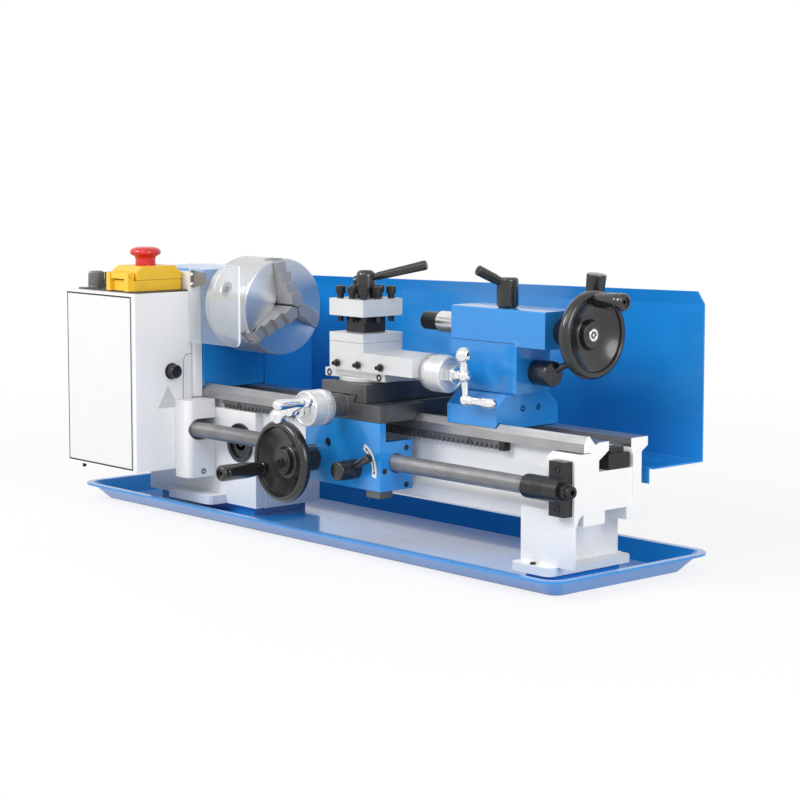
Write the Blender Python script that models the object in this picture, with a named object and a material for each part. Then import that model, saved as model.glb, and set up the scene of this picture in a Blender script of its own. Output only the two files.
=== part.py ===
"""Benchtop metal lathe: every separate piece as its own closed solid, in metres, +Z up.

X runs along the spindle towards the tailstock, -Y is the operator's side, and the origin
is the centre of the chip tray's underside.  Sizes below are in millimetres.
"""
import bpy
import bmesh
from math import acos, atan2, ceil, cos, degrees, hypot, pi, radians, sin, tan
from mathutils import Matrix, Vector

MM = 0.001
GAP = 0.3             # running or seating clearance between neighbours
SEAT = 0.35           # clearance over the ways
SEG = 24              # sides of an ordinary round piece

# ---- driving dimensions (mm) ----
TRAY_LENGTH, TRAY_WIDTH, TRAY_HEIGHT = 720.0, 210.0, 17.5
TRAY_SLOPE_X, TRAY_SLOPE_Y, TRAY_LIP, TRAY_SHEET = 20.0, 23.0, 6.0, 1.2
TRAY_CORNER = 22.0
PAD_HEIGHT = 9.2      # top of the pressed pads that the feet stand on

BED_LEFT, BED_RIGHT = -316.0, 333.0
BED_HALF = 41.0       # half width over the ways
WAY_Z = 126.0         # flat ways
VEE_RISE = 6.4
RAIL_BOTTOM = 118.0
WEB = 33.0            # outer face of each web
BED_BOTTOM = 54.0
CENTRE_HEIGHT = 90.0
AXIS_Z = WAY_Z + CENTRE_HEIGHT
PEDESTAL_RIGHT = -126.0
PEDESTAL_HALF = 42.0
PORT_X, PORT_Z = -151.5, 76.0
LEG_LEFT, LEG_FRONT, LEG_RECESS = 268.5, -52.8, 299.0
FOOT_TOP = 17.0

HEAD_LEFT, HEAD_RIGHT, HEAD_TOP = -316.0, -218.0, 252.0
COVER_FRONT = -55.0   # front of the white cover on the headstock
BOX_LEFT, BOX_FRONT, BOX_TOP, BOX_BOTTOM = -342.0, -129.0, 230.0, 45.0
BOX_WALL = 2.0
MOTOR_Y, MOTOR_Z, MOTOR_R = 76.0, 160.0, 29.0
HOUSING_BACK = 110.0

CHUCK_R, CHUCK_FACE, CHUCK_BACK = 50.0, -132.6, -196.0
BACKPLATE = 8.0
BORE_R = 10.0         # through hole of the spindle
BEARING_R, BEARING_W = 26.0, 14.0
JAW_ANGLE = 98.0      # first jaw, degrees from +Y towards +Z
JAW_WIDTH = 13.0

SCREW_Y, SCREW_Z, SCREW_R = -64.0, 87.5, 8.0
RACK_MODULE, RACK_LEFT, RACK_RIGHT, RACK_TIP = 2.0, -184.0, 235.0, 110.0
RACK_BACK = -WEB - GAP

CARRIAGE_X = 61.0
SADDLE_HALF, SADDLE_TOP, SADDLE_FRONT, SADDLE_BACK = 54.5, 142.0, -84.0, 62.0
APRON_BOTTOM, APRON_PLATE = 62.0, 7.0
WHEEL_R, WHEEL_RIM, WHEEL_GRIP_R = 39.5, 12.0, 30.0
WHEEL_X, WHEEL_Z, WHEEL_FACE = 17.0, 83.8, -127.0
PINION_X = 40.0
HALFNUT_X, HALFNUT_Z = 80.0, 80.0

CROSS_HALF, CROSS_TOP, CROSS_FRONT, CROSS_BACK = 32.0, 160.0, -82.0, 56.0
CROSS_SCREW_Z = 138.8
SWIVEL_X, SWIVEL_Y, SWIVEL_TOP = 61.0, -48.0, 170.6
POST_X, POST_Y, POST_SIDE = 58.5, -52.0, 49.0
SLIDE_RIGHT, SLIDE_TOP, SLIDE_BLOCK_TOP = 151.0, 188.6, 197.4
COMPOUND_Z = 174.5

TAIL_LEFT, TAIL_RIGHT, TAIL_HALF = 145.0, 266.6, 22.0
TAIL_TOP, TAIL_BARREL_BOTTOM, TAIL_PEDESTAL_RIGHT = 235.0, 201.0, 230.4
TAIL_BASE_LEFT, TAIL_BASE_RIGHT, TAIL_BASE_TOP = 158.6, 223.5, 158.0
QUILL_R, QUILL_FRONT = 10.0, 109.0
TAIL_WHEEL_FACE = 309.0

GUARD_LEFT, GUARD_RIGHT, GUARD_BOTTOM, GUARD_TOP = -215.0, -131.0, 177.5, 260.0
GUARD_Y, GUARD_SHEET = -57.0, 2.5
GUARD_PIVOT_Y, GUARD_PIVOT_Z = -46.0, 243.5
SPLASH_Y, SPLASH_SHEET, SPLASH_LEFT, SPLASH_RIGHT = 107.0, 1.5, HEAD_RIGHT + GAP, 340.0
SPLASH_SHELF, SPLASH_TOP = 98.0, 251.5
SPLASH_DROP = 11.0    # how much lower the wall's top is at its left end

MOTOR_COVER_TOP = 238.0
ESTOP_X, ESTOP_Y = -254.5, -87.0


# ---- shapes ----
def place(axis, along, u, v):
    """A point given by its distance along an axis and its two other coordinates."""
    if axis == "X":
        return (along, u, v)
    if axis == "Y":
        return (u, along, v)
    return (u, v, along)


def solid(name, verts, faces):
    mesh = bpy.data.meshes.new(name)
    mesh.from_pydata([[c * MM for c in v] for v in verts], [], faces)
    work = bmesh.new()
    work.from_mesh(mesh)
    bmesh.ops.recalc_face_normals(work, faces=work.faces)
    work.to_mesh(mesh)
    work.free()
    obj = bpy.data.objects.new(name, mesh)
    bpy.context.scene.collection.objects.link(obj)
    return obj


def box(x0, x1, y0, y1, z0, z1):
    return prism("Z", [(x0, y0), (x1, y0), (x1, y1), (x0, y1)], z0, z1)


def prism(axis, outline, low, high):
    """An outline in the two other coordinates, extruded along an axis."""
    count = len(outline)
    verts = [place(axis, low, u, v) for u, v in outline]
    verts += [place(axis, high, u, v) for u, v in outline]
    faces = [tuple(range(count)), tuple(range(2 * count - 1, count - 1, -1))]
    for i in range(count):
        j = (i + 1) % count
        faces.append((i, j, count + j, count + i))
    return solid("prism", verts, faces)


def turned(axis, u, v, profile, segments=SEG, ring=False):
    """A profile of (along, radius) points turned about an axis; ring joins its ends."""
    verts, faces, rings = [], [], []
    for along, radius in profile:
        if radius == 0.0:
            rings.append([len(verts)] * segments)
            verts.append(place(axis, along, u, v))
            continue
        rings.append(list(range(len(verts), len(verts) + segments)))
        for i in range(segments):
            turn = 2.0 * pi * (i + 0.5) / segments
            verts.append(place(axis, along, u + radius * cos(turn), v + radius * sin(turn)))
    pairs = list(zip(rings, rings[1:]))
    if ring:
        pairs.append((rings[-1], rings[0]))
    for one, two in pairs:
        for i in range(segments):
            j = (i + 1) % segments
            corners = [one[i], one[j], two[j], two[i]]
            face = [c for k, c in enumerate(corners) if c != corners[k - 1]]
            if len(face) > 2:
                faces.append(tuple(face))
    if not ring:
        for end in (rings[0], rings[-1]):
            if end[0] != end[1]:
                faces.append(tuple(end))
    return solid("turned", verts, faces)


def cylinder(axis, u, v, radius, low, high, segments=SEG):
    return turned(axis, u, v, [(low, radius), (high, radius)], segments)


def tube(axis, u, v, radius, bore, low, high, segments=SEG):
    profile = [(low, bore), (low, radius), (high, radius), (high, bore)]
    return turned(axis, u, v, profile, segments, ring=True)


def rod(start, end, r0, r1=None, segments=10):
    """A round bar or cone between two points."""
    r1 = r0 if r1 is None else r1
    a, b = Vector(start), Vector(end)
    obj = turned("Z", 0.0, 0.0, [(0.0, r0), ((b - a).length, r1)], segments)
    aim = (b - a).to_track_quat("Z", "Y").to_matrix().to_4x4()
    obj.data.transform(Matrix.Translation(a * MM) @ aim)
    return obj


def ball(centre, radius, segments=10):
    profile = [(centre[2] - radius * cos(pi * i / 5), radius * sin(pi * i / 5)) for i in range(6)]
    profile[0] = (centre[2] - radius, 0.0)
    profile[-1] = (centre[2] + radius, 0.0)
    shape = turned("Z", centre[0], centre[1], profile, segments)
    return turn(turn(shape, "Z", 13.0, centre), "X", 31.0, centre)


def arc(u, v, radius, start, stop, steps):
    """Points of an arc, in degrees."""
    turns = [radians(start + (stop - start) * i / steps) for i in range(steps + 1)]
    return [(u + radius * cos(t), v + radius * sin(t)) for t in turns]


def rounded(u0, u1, v0, v1, r, steps=4):
    """A rectangle with round corners."""
    return (arc(u1 - r, v1 - r, r, 0, 90, steps) + arc(u0 + r, v1 - r, r, 90, 180, steps)
            + arc(u0 + r, v0 + r, r, 180, 270, steps) + arc(u1 - r, v0 + r, r, 270, 360, steps))


def boolean(base, tools, operation):
    """Join or cut base with each tool in turn and keep the result as plain mesh."""
    for tool in tools:
        modifier = base.modifiers.new("step", "BOOLEAN")
        modifier.operation = operation
        modifier.object = tool
        modifier.solver = "EXACT"
        bpy.context.view_layer.update()
        graph = bpy.context.evaluated_depsgraph_get()
        mesh = bpy.data.meshes.new_from_object(base.evaluated_get(graph))
        base.modifiers.clear()
        base.data = mesh
        bpy.data.objects.remove(tool)
    return base


def join(base, *tools):
    return boolean(base, tools, "UNION")


def cut(base, *tools):
    return boolean(base, tools, "DIFFERENCE")


def turn(obj, axis, angle, pivot):
    """Turn the mesh by an angle in degrees about an axis through a pivot."""
    spin = Matrix.Rotation(radians(angle), 4, axis)
    shift = Matrix.Translation(Vector(pivot) * MM)
    obj.data.transform(shift @ spin @ shift.inverted())
    return obj


MATERIALS = {
    "blue_paint": ((0.010, 0.190, 0.560), 0.35, 0.0),
    "white_enamel": ((0.82, 0.83, 0.84), 0.40, 0.0),
    "ground_steel": ((0.62, 0.63, 0.64), 0.28, 1.0),
    "cast_iron": ((0.26, 0.265, 0.27), 0.45, 0.8),
    "black_plastic": ((0.018, 0.018, 0.019), 0.38, 0.0),
    "black_oxide": ((0.030, 0.030, 0.032), 0.35, 0.6),
    "yellow_plastic": ((0.90, 0.62, 0.07), 0.40, 0.0),
    "red_plastic": ((0.72, 0.02, 0.03), 0.32, 0.0),
    "clear_plastic": ((0.86, 0.92, 0.96), 0.08, 0.0),
    "grey_plastic": ((0.20, 0.20, 0.21), 0.50, 0.0),
    "brass": ((0.75, 0.55, 0.22), 0.30, 1.0),
    "black_rubber": ((0.02, 0.02, 0.02), 0.75, 0.0),
}


def material(name):
    if name in bpy.data.materials:
        return bpy.data.materials[name]
    colour, roughness, metallic = MATERIALS[name]
    made = bpy.data.materials.new(name)
    made.use_nodes = True
    shader = made.node_tree.nodes["Principled BSDF"]
    shader.inputs["Base Color"].default_value = (*colour, 1.0)
    shader.inputs["Roughness"].default_value = roughness
    shader.inputs["Metallic"].default_value = metallic
    return made


def piece(name, obj, finish, origin=(0.0, 0.0, 0.0), smooth=True):
    """Name a finished piece, give it its material and put its origin on its joint axis."""
    obj.name = name
    obj.data.name = name
    obj.data.materials.clear()
    obj.data.materials.append(material(finish))
    obj.data.transform(Matrix.Translation(-Vector(origin) * MM))
    obj.location = Vector(origin) * MM
    if smooth:
        obj.data.shade_smooth()
        obj.data.set_sharp_from_angle(angle=radians(32))
    return obj


# ---- gears ----
def gear_outline(teeth, module, turn_deg, u, v, backlash=0.30):
    """Teeth with straight flanks, narrowed by the backlash, as an outline about (u, v)."""
    pitch = module * teeth / 2.0
    tip, root = pitch + module * 0.95, pitch - module * 1.2
    half = pi / (2.0 * teeth) - backlash / (4.0 * pitch)
    slope = tan(radians(20.0))
    points = []
    for i in range(teeth):
        middle = radians(turn_deg) + 2.0 * pi * i / teeth
        foot = half + (pitch - root) * slope / root * 0.8
        crest = half - (tip - pitch) * slope / tip * 1.15
        for radius, offset in ((root, -foot), (tip, -crest), (tip, crest), (root, foot)):
            points.append((u + radius * cos(middle + offset), v + radius * sin(middle + offset)))
    return points


def mesh_phase(teeth_a, turn_a, teeth_b, bearing):
    """Turn of gear B, in degrees, whose gap meets a tooth of gear A along the bearing from A to B."""
    step_a, step_b = 360.0 / teeth_a, 360.0 / teeth_b
    ahead = ((bearing - turn_a) / step_a) % 1.0
    return bearing + 180.0 + (ahead + 0.5) * step_b


# ---- tray, bed and what is fixed to it ----
def tray_loop(length, width, radius, z):
    return [(u, v, z) for u, v in rounded(-length / 2, length / 2, -width / 2, width / 2, radius)]


def make_chip_tray():
    """Pressed sheet tray with sloped walls, an outward lip and two raised pads."""
    floor_l, floor_w = TRAY_LENGTH - 2 * TRAY_SLOPE_X, TRAY_WIDTH - 2 * TRAY_SLOPE_Y
    neck_l, neck_w = TRAY_LENGTH - 2 * TRAY_LIP, TRAY_WIDTH - 2 * TRAY_LIP
    sheet, top = TRAY_SHEET, TRAY_HEIGHT
    corner = TRAY_CORNER - TRAY_LIP
    loops = [
        tray_loop(floor_l, floor_w, corner * 0.6, 0.0),
        tray_loop(neck_l, neck_w, corner, top - sheet),
        tray_loop(TRAY_LENGTH, TRAY_WIDTH, TRAY_CORNER, top - sheet - 1.0),
        tray_loop(TRAY_LENGTH, TRAY_WIDTH, TRAY_CORNER, top),
        tray_loop(neck_l - 2 * sheet, neck_w - 2 * sheet, corner - sheet, top),
        tray_loop(floor_l - 2 * sheet, floor_w - 2 * sheet, corner * 0.6 - sheet, sheet),
    ]
    count = len(loops[0])
    verts = [p for loop in loops for p in loop]
    faces = [tuple(range(count)), tuple(range(5 * count, 6 * count))]
    for ring in range(5):
        for i in range(count):
            j = (i + 1) % count
            a, b = ring * count, (ring + 1) * count
            faces.append((a + i, a + j, b + j, b + i))
    tray = solid("tray", verts, faces)
    left_pad = box(BED_LEFT + 12, PEDESTAL_RIGHT - 14, -34, 34, sheet / 2, PAD_HEIGHT)
    right_pad = box(LEG_LEFT + 2, LEG_RECESS + 8, -48, 34, sheet / 2, PAD_HEIGHT)
    piece("chip_tray", join(tray, left_pad, right_pad), "blue_paint")


def seat_outline():
    """Underside that rests on the ways: over the vee, then flat, from front to rear."""
    low, high = WAY_Z + SEAT, WAY_Z + VEE_RISE + SEAT
    return [(-BED_HALF - 0.2, low), (-36.8, high), (-34.1, high), (-28.3, low)]


def bed_rails():
    rail_front = [
        (-BED_HALF, RAIL_BOTTOM), (-BED_HALF, WAY_Z), (-36.6, WAY_Z + VEE_RISE),
        (-34.3, WAY_Z + VEE_RISE), (-27.3, WAY_Z - 1.4), (-25.0, WAY_Z - 1.4), (-22.5, WAY_Z),
        (-9.6, WAY_Z), (-9.6, RAIL_BOTTOM), (-22, 110), (-22, 72), (-14, 66), (-14, BED_BOTTOM),
        (-BED_HALF, BED_BOTTOM), (-BED_HALF, 66), (-WEB, 72), (-WEB, RAIL_BOTTOM),
    ]
    rail_back = [
        (19.2, WAY_Z), (BED_HALF, WAY_Z), (BED_HALF, RAIL_BOTTOM), (WEB, 113), (WEB, 72),
        (BED_HALF, 66), (BED_HALF, BED_BOTTOM), (14, BED_BOTTOM), (14, 66), (22, 72),
        (22, 110), (19.2, RAIL_BOTTOM),
    ]
    return (prism("X", rail_front, BED_LEFT, BED_RIGHT),
            prism("X", rail_back, BED_LEFT, BED_RIGHT))


def make_bed():
    """Cast bed: vee and flat ways, webs, ribs, left pedestal and right leg with its foot."""
    front, back = bed_rails()
    low = PAD_HEIGHT + GAP
    pedestal = box(BED_LEFT + 1, PEDESTAL_RIGHT, -30, PEDESTAL_HALF, low, 68.5)
    hub = box(BED_LEFT + 2, PEDESTAL_RIGHT - 20, -23, 23, 60, 100)
    panel = box(BED_LEFT + 1.5, PEDESTAL_RIGHT - 0.5, -PEDESTAL_HALF, -20, low + 0.5, 109)
    foot = prism("Z", rounded(-256, -178, -62.5, -25, 7.0, 3), low + 0.2, FOOT_TOP + 2)
    port = cylinder("Y", PORT_X, PORT_Z, 15.6, -PEDESTAL_HALF - 6, -24.5, 24)
    left_end = cut(join(pedestal, panel, foot, hub), port)
    leg = box(LEG_LEFT, BED_RIGHT - 0.5, LEG_FRONT, 40.2, low, 66.5)
    end = box(LEG_LEFT + 0.5, BED_RIGHT - 1, -WEB - 1.2, WEB + 0.7, 60.5, 100)
    boss = prism("X", [(LEG_FRONT - 0.2, 56), (-30, 50), (-30, 117.4), (-46, 117.4),
                       (LEG_FRONT - 0.2, 113)], 300.0, BED_RIGHT + 0.3)
    foot = prism("Z", rounded(263.5, 313.0, -62.5, 45.0, 7.0, 3), low - 0.1, FOOT_TOP)
    arch = arc(-49.5 + 12, 65.4 - 12, 12, 180, 90, 5)
    hollow = prism("X", arch + [(60, 65.4), (60, FOOT_TOP - 0.5), (-49.5, FOOT_TOP - 0.5)],
                   LEG_RECESS, 400)
    toe = box(313.2, 400, -70, 60, 0, FOOT_TOP + 0.1)
    slot = cylinder("Z", 288, -57.0, 3.2, 0, 30, 12)
    right_end = cut(join(leg, foot, end, boss), hollow, toe, slot)
    ribs = [box(x - 4, x + 4, -23, 23, 61, 101) for x in (-60.0, 40.0, 140.0, 225.0)]
    ribs += [box(x - 12, x + 12, 30, BED_HALF, 82, 99) for x in (-90.0, 90.0, 240.0)]
    piece("lathe_bed", join(front, back, left_end, right_end, *ribs), "white_enamel")
    ring = tube("Y", PORT_X, PORT_Z, 20.5, 15.5, -PEDESTAL_HALF - 3.0, -PEDESTAL_HALF - GAP, 28)
    piece("port_ring", ring, "black_plastic")


def make_rack():
    pitch = pi * RACK_MODULE
    root = RACK_TIP + 2.25 * RACK_MODULE
    slope = tan(radians(20.0))
    top_half = (pitch / 4 - RACK_MODULE * slope) - 0.08
    root_half = (pitch / 4 + 1.25 * RACK_MODULE * slope) - 0.08
    outline = [(RACK_LEFT, RAIL_BOTTOM - GAP), (RACK_LEFT, root)]
    first = ceil((RACK_LEFT - PINION_X) / pitch + 0.5)
    last = int((RACK_RIGHT - PINION_X) / pitch - 0.5)
    for i in range(first, last + 1):
        x = PINION_X + i * pitch
        outline += [(x - root_half, root), (x - top_half, RACK_TIP),
                    (x + top_half, RACK_TIP), (x + root_half, root)]
    outline += [(RACK_RIGHT, root), (RACK_RIGHT, RAIL_BOTTOM - GAP)]
    piece("feed_rack", prism("Y", outline, -BED_HALF, RACK_BACK), "black_oxide")


def make_bed_stop():
    stop = box(BED_RIGHT - 22, BED_RIGHT - 1, -8.5, 18.6, 100 + GAP, 114)
    tab = box(BED_RIGHT - 16, BED_RIGHT - 4, -4, 14, 113, 119)
    piece("bed_stop", join(stop, tab), "black_oxide")


def make_screw_brackets():
    """Right bracket with its barrel on the boss, and the left bearing block behind the cover."""
    plate_back = LEG_FRONT - GAP
    plate = box(312, 331, plate_back - 9.5, plate_back, 64, 112)
    barrel = cylinder("X", SCREW_Y, SCREW_Z, 10.6, 288, 331)
    bore = cylinder("X", SCREW_Y, SCREW_Z, 6.0 + GAP, 280, 340)
    piece("screw_bracket_right", cut(join(plate, barrel), bore), "black_oxide")
    back = -PEDESTAL_HALF - GAP
    plate = box(-262, -246, SCREW_Y - 12, back, SCREW_Z - 14, SCREW_Z + 14)
    bore = cylinder("X", SCREW_Y, SCREW_Z, SCREW_R + GAP, -270, -240)
    piece("screw_bracket_left", cut(plate, bore), "cast_iron")


# ---- headstock, covers and controls ----
def make_headstock():
    """Blue casting with a stepped bore for the spindle and its two bearings."""
    outline = rounded(-BED_HALF + 0.5, BED_HALF - 0.5, WAY_Z - 2, HEAD_TOP, 6.0, 3)
    body = prism("X", outline, HEAD_LEFT, HEAD_RIGHT)
    clear = prism("X", [(-60, 100), (-60, WAY_Z + SEAT)] + seat_outline()
                  + [(60, WAY_Z + SEAT), (60, 100)], HEAD_LEFT - 5, HEAD_RIGHT + 5)
    bore = turned("X", 0, AXIS_Z, [
        (HEAD_LEFT - 1, BEARING_R + GAP), (HEAD_LEFT + BEARING_W + GAP, BEARING_R + GAP),
        (HEAD_LEFT + BEARING_W + GAP, 20.0), (HEAD_RIGHT - BEARING_W - GAP, 20.0),
        (HEAD_RIGHT - BEARING_W - GAP, BEARING_R + GAP), (HEAD_RIGHT + 1, BEARING_R + GAP)], 32)
    piece("headstock", cut(body, clear, bore), "blue_paint")


def make_bearings():
    for name, left in (("spindle_bearing_rear", HEAD_LEFT), ("spindle_bearing_front",
                                                              HEAD_RIGHT - BEARING_W)):
        ring = tube("X", 0, AXIS_Z, BEARING_R, 16.0 + GAP, left, left + BEARING_W, 32)
        piece(name, ring, "ground_steel")


def make_headstock_cover():
    """White cover on the headstock's front, with a round right edge."""
    back = -BED_HALF - GAP
    outline = [(HEAD_LEFT, back), (HEAD_LEFT, COVER_FRONT)]
    outline += arc(HEAD_RIGHT - 6, COVER_FRONT + 6, 6, 270, 360, 4)
    outline += [(HEAD_RIGHT, back)]
    piece("headstock_cover", prism("Z", outline, RAIL_BOTTOM + GAP, HEAD_TOP - 2.0), "white_enamel")


def make_control_box():
    """Sheet box with an open back, and a hole where the leadscrew passes."""
    back = COVER_FRONT - GAP
    outer = prism("Z", [(BOX_LEFT, back), (BOX_LEFT, BOX_FRONT + 3), (BOX_LEFT + 3, BOX_FRONT),
                        (HEAD_RIGHT - 3, BOX_FRONT), (HEAD_RIGHT, BOX_FRONT + 3),
                        (HEAD_RIGHT, back)], BOX_BOTTOM, BOX_TOP)
    inner = box(BOX_LEFT + BOX_WALL, HEAD_RIGHT - BOX_WALL, BOX_FRONT + BOX_WALL, back + 5,
                BOX_BOTTOM + BOX_WALL, BOX_TOP - BOX_WALL)
    hole = cylinder("X", SCREW_Y, SCREW_Z, SCREW_R + 1.5, HEAD_RIGHT - 8, HEAD_RIGHT + 4)
    recess = box(BOX_LEFT + 8, HEAD_RIGHT - 6, BOX_FRONT + 10, back + 5, BOX_TOP - 1.2, BOX_TOP + 5)
    piece("control_box", cut(outer, inner, hole, recess), "white_enamel")
    panel = box(BOX_LEFT + 8 + GAP, HEAD_RIGHT - 6 - GAP, BOX_FRONT + 10 + GAP, back,
                BOX_TOP - 1.2 + GAP, BOX_TOP + 1.5)
    piece("control_panel", panel, "grey_plastic")


def make_screw_cover():
    """Raised cover beside the box that hides the leadscrew's left end, slotted to the rear."""
    back = -PEDESTAL_HALF - GAP
    low, high, front = 37.0, RAIL_BOTTOM, -77.0
    left, right = HEAD_RIGHT + GAP, HEAD_RIGHT + 23.0
    outline = [(left, back), (left, front)] + arc(right - 8, front + 8, 8, 270, 360, 5)
    outline += [(right, back)]
    cover = prism("Z", outline, low, high)
    inner = box(left - 1, right - 4, front + 4, back + 2, low + 2, high - 2)
    slot = join(cylinder("X", SCREW_Y, SCREW_Z, SCREW_R + 3, left - 5, right + 5),
                box(left - 5, right + 5, SCREW_Y, back + 5, SCREW_Z - SCREW_R - 3,
                    SCREW_Z + SCREW_R + 3))
    piece("screw_cover", cut(cover, inner, slot), "white_enamel")


def make_motor_cover():
    """Blue sheet housing behind the headstock, open to the left where the belt runs."""
    front = BED_HALF + GAP + 0.2
    outer = prism("X", rounded(front, HOUSING_BACK, 100.0, MOTOR_COVER_TOP, 5.0, 3),
                  HEAD_LEFT, HEAD_RIGHT)
    inner = box(HEAD_LEFT - 5, HEAD_RIGHT - 2, front + 2, HOUSING_BACK - 2, 102,
                MOTOR_COVER_TOP - 2)
    piece("motor_cover", cut(outer, inner), "blue_paint")


def make_drive():
    """Motor, its pulley, the belt, the spindle pulley and the change gears at the left end."""
    can = cylinder("X", MOTOR_Y, MOTOR_Z, MOTOR_R, HEAD_LEFT + 12, HEAD_RIGHT - 12, 28)
    foot = box(HEAD_LEFT + 24, HEAD_RIGHT - 24, MOTOR_Y - 22, MOTOR_Y + 22,
               102 + GAP, MOTOR_Z - MOTOR_R + 6)
    piece("drive_motor", join(can, foot), "black_oxide")
    low, high = HEAD_LEFT - 12.0, HEAD_LEFT - 3.0
    shaft = cylinder("X", MOTOR_Y, MOTOR_Z, 4.0, HEAD_LEFT - 14, HEAD_LEFT + 12 - GAP, 12)
    wheel = cylinder("X", MOTOR_Y, MOTOR_Z, PULLEY_SMALL, low, high)
    piece("motor_pulley", join(wheel, shaft), "ground_steel", (HEAD_LEFT, MOTOR_Y, MOTOR_Z))
    wheel = tube("X", 0, AXIS_Z, PULLEY_LARGE, 14.0 + GAP, low, high, 32)
    piece("spindle_pulley", wheel, "cast_iron", (HEAD_LEFT, 0, AXIS_Z))
    outer = belt_outline(PULLEY_LARGE + GAP + 2.0, PULLEY_SMALL + GAP + 2.0)
    inner = belt_outline(PULLEY_LARGE + GAP, PULLEY_SMALL + GAP)
    band = cut(prism("X", outer, low + 0.5, high - 0.5), prism("X", inner, low - 5, high + 5))
    piece("drive_belt", band, "black_rubber")


PULLEY_LARGE, PULLEY_SMALL = 27.0, 12.0


def belt_outline(large, small):
    """Open belt round the spindle pulley and the motor pulley."""
    span = hypot(MOTOR_Y, MOTOR_Z - AXIS_Z)
    bearing = degrees(atan2(MOTOR_Z - AXIS_Z, MOTOR_Y))
    lean = degrees(acos((large - small) / span))
    return (arc(0, AXIS_Z, large, bearing + lean, bearing + 360 - lean, 18)
            + arc(MOTOR_Y, MOTOR_Z, small, bearing - lean, bearing + lean, 8))


GEAR_MODULE = 2.5
SPINDLE_TEETH, IDLER_TEETH, SCREW_TEETH = 18, 38, 24


def idler_centre():
    """Where the idler meshes with both the spindle gear and the leadscrew gear."""
    r1 = GEAR_MODULE * (SPINDLE_TEETH + IDLER_TEETH) / 2
    r2 = GEAR_MODULE * (SCREW_TEETH + IDLER_TEETH) / 2
    dy, dz = SCREW_Y, SCREW_Z - AXIS_Z
    span = hypot(dy, dz)
    along = (r1 * r1 - r2 * r2 + span * span) / (2 * span)
    aside = (r1 * r1 - along * along) ** 0.5
    return (along * dy / span - aside * dz / span, AXIS_Z + along * dz / span + aside * dy / span)


def make_change_gears():
    low, high = HEAD_LEFT - 22.0, HEAD_LEFT - 15.5
    idler_y, idler_z = idler_centre()
    first = degrees(atan2(idler_z - AXIS_Z, idler_y))
    second = degrees(atan2(SCREW_Z - idler_z, SCREW_Y - idler_y))
    idler_turn = mesh_phase(SPINDLE_TEETH, 0.0, IDLER_TEETH, first)
    screw_turn = mesh_phase(IDLER_TEETH, idler_turn, SCREW_TEETH, second)
    wheel = prism("X", gear_outline(SPINDLE_TEETH, GEAR_MODULE, 0.0, 0, AXIS_Z), low, high)
    wheel = cut(wheel, cylinder("X", 0, AXIS_Z, 14.0 + GAP, low - 5, high + 5))
    piece("spindle_gear", wheel, "black_oxide", (HEAD_LEFT, 0, AXIS_Z))
    wheel = prism("X", gear_outline(IDLER_TEETH, GEAR_MODULE, idler_turn, idler_y, idler_z),
                  low, high)
    shaft = cylinder("X", idler_y, idler_z, 5.0, low - 1.0, HEAD_LEFT - GAP)
    piece("idler_gear", join(wheel, shaft), "black_oxide", (HEAD_LEFT, idler_y, idler_z))
    wheel = prism("X", gear_outline(SCREW_TEETH, GEAR_MODULE, screw_turn, SCREW_Y, SCREW_Z),
                  low, high)
    wheel = cut(wheel, cylinder("X", SCREW_Y, SCREW_Z, 6.0 + GAP, low - 5, high + 5))
    piece("leadscrew_gear", wheel, "black_oxide", (HEAD_LEFT, SCREW_Y, SCREW_Z))


def make_gear_cover():
    """White end cover, open towards the headstock and the control box."""
    front = COVER_FRONT + GAP
    left, right = BOX_LEFT, HEAD_LEFT - GAP
    outline = rounded(front - 12, HOUSING_BACK, 50, HEAD_TOP - 3, 10.0, 4)
    shell = prism("X", outline, left, right)
    inner = prism("X", rounded(front - 20, HOUSING_BACK - 2, 52, HEAD_TOP - 5, 8.0, 4),
                  left + 2, right + 5)
    trim = box(left - 5, right + 5, front - 40, front, 30, 280)
    hole = cylinder("X", 0, AXIS_Z, BORE_R + 3.0, left - 5, left + 5)
    piece("gear_cover", cut(shell, inner, trim, hole), "white_enamel")


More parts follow.
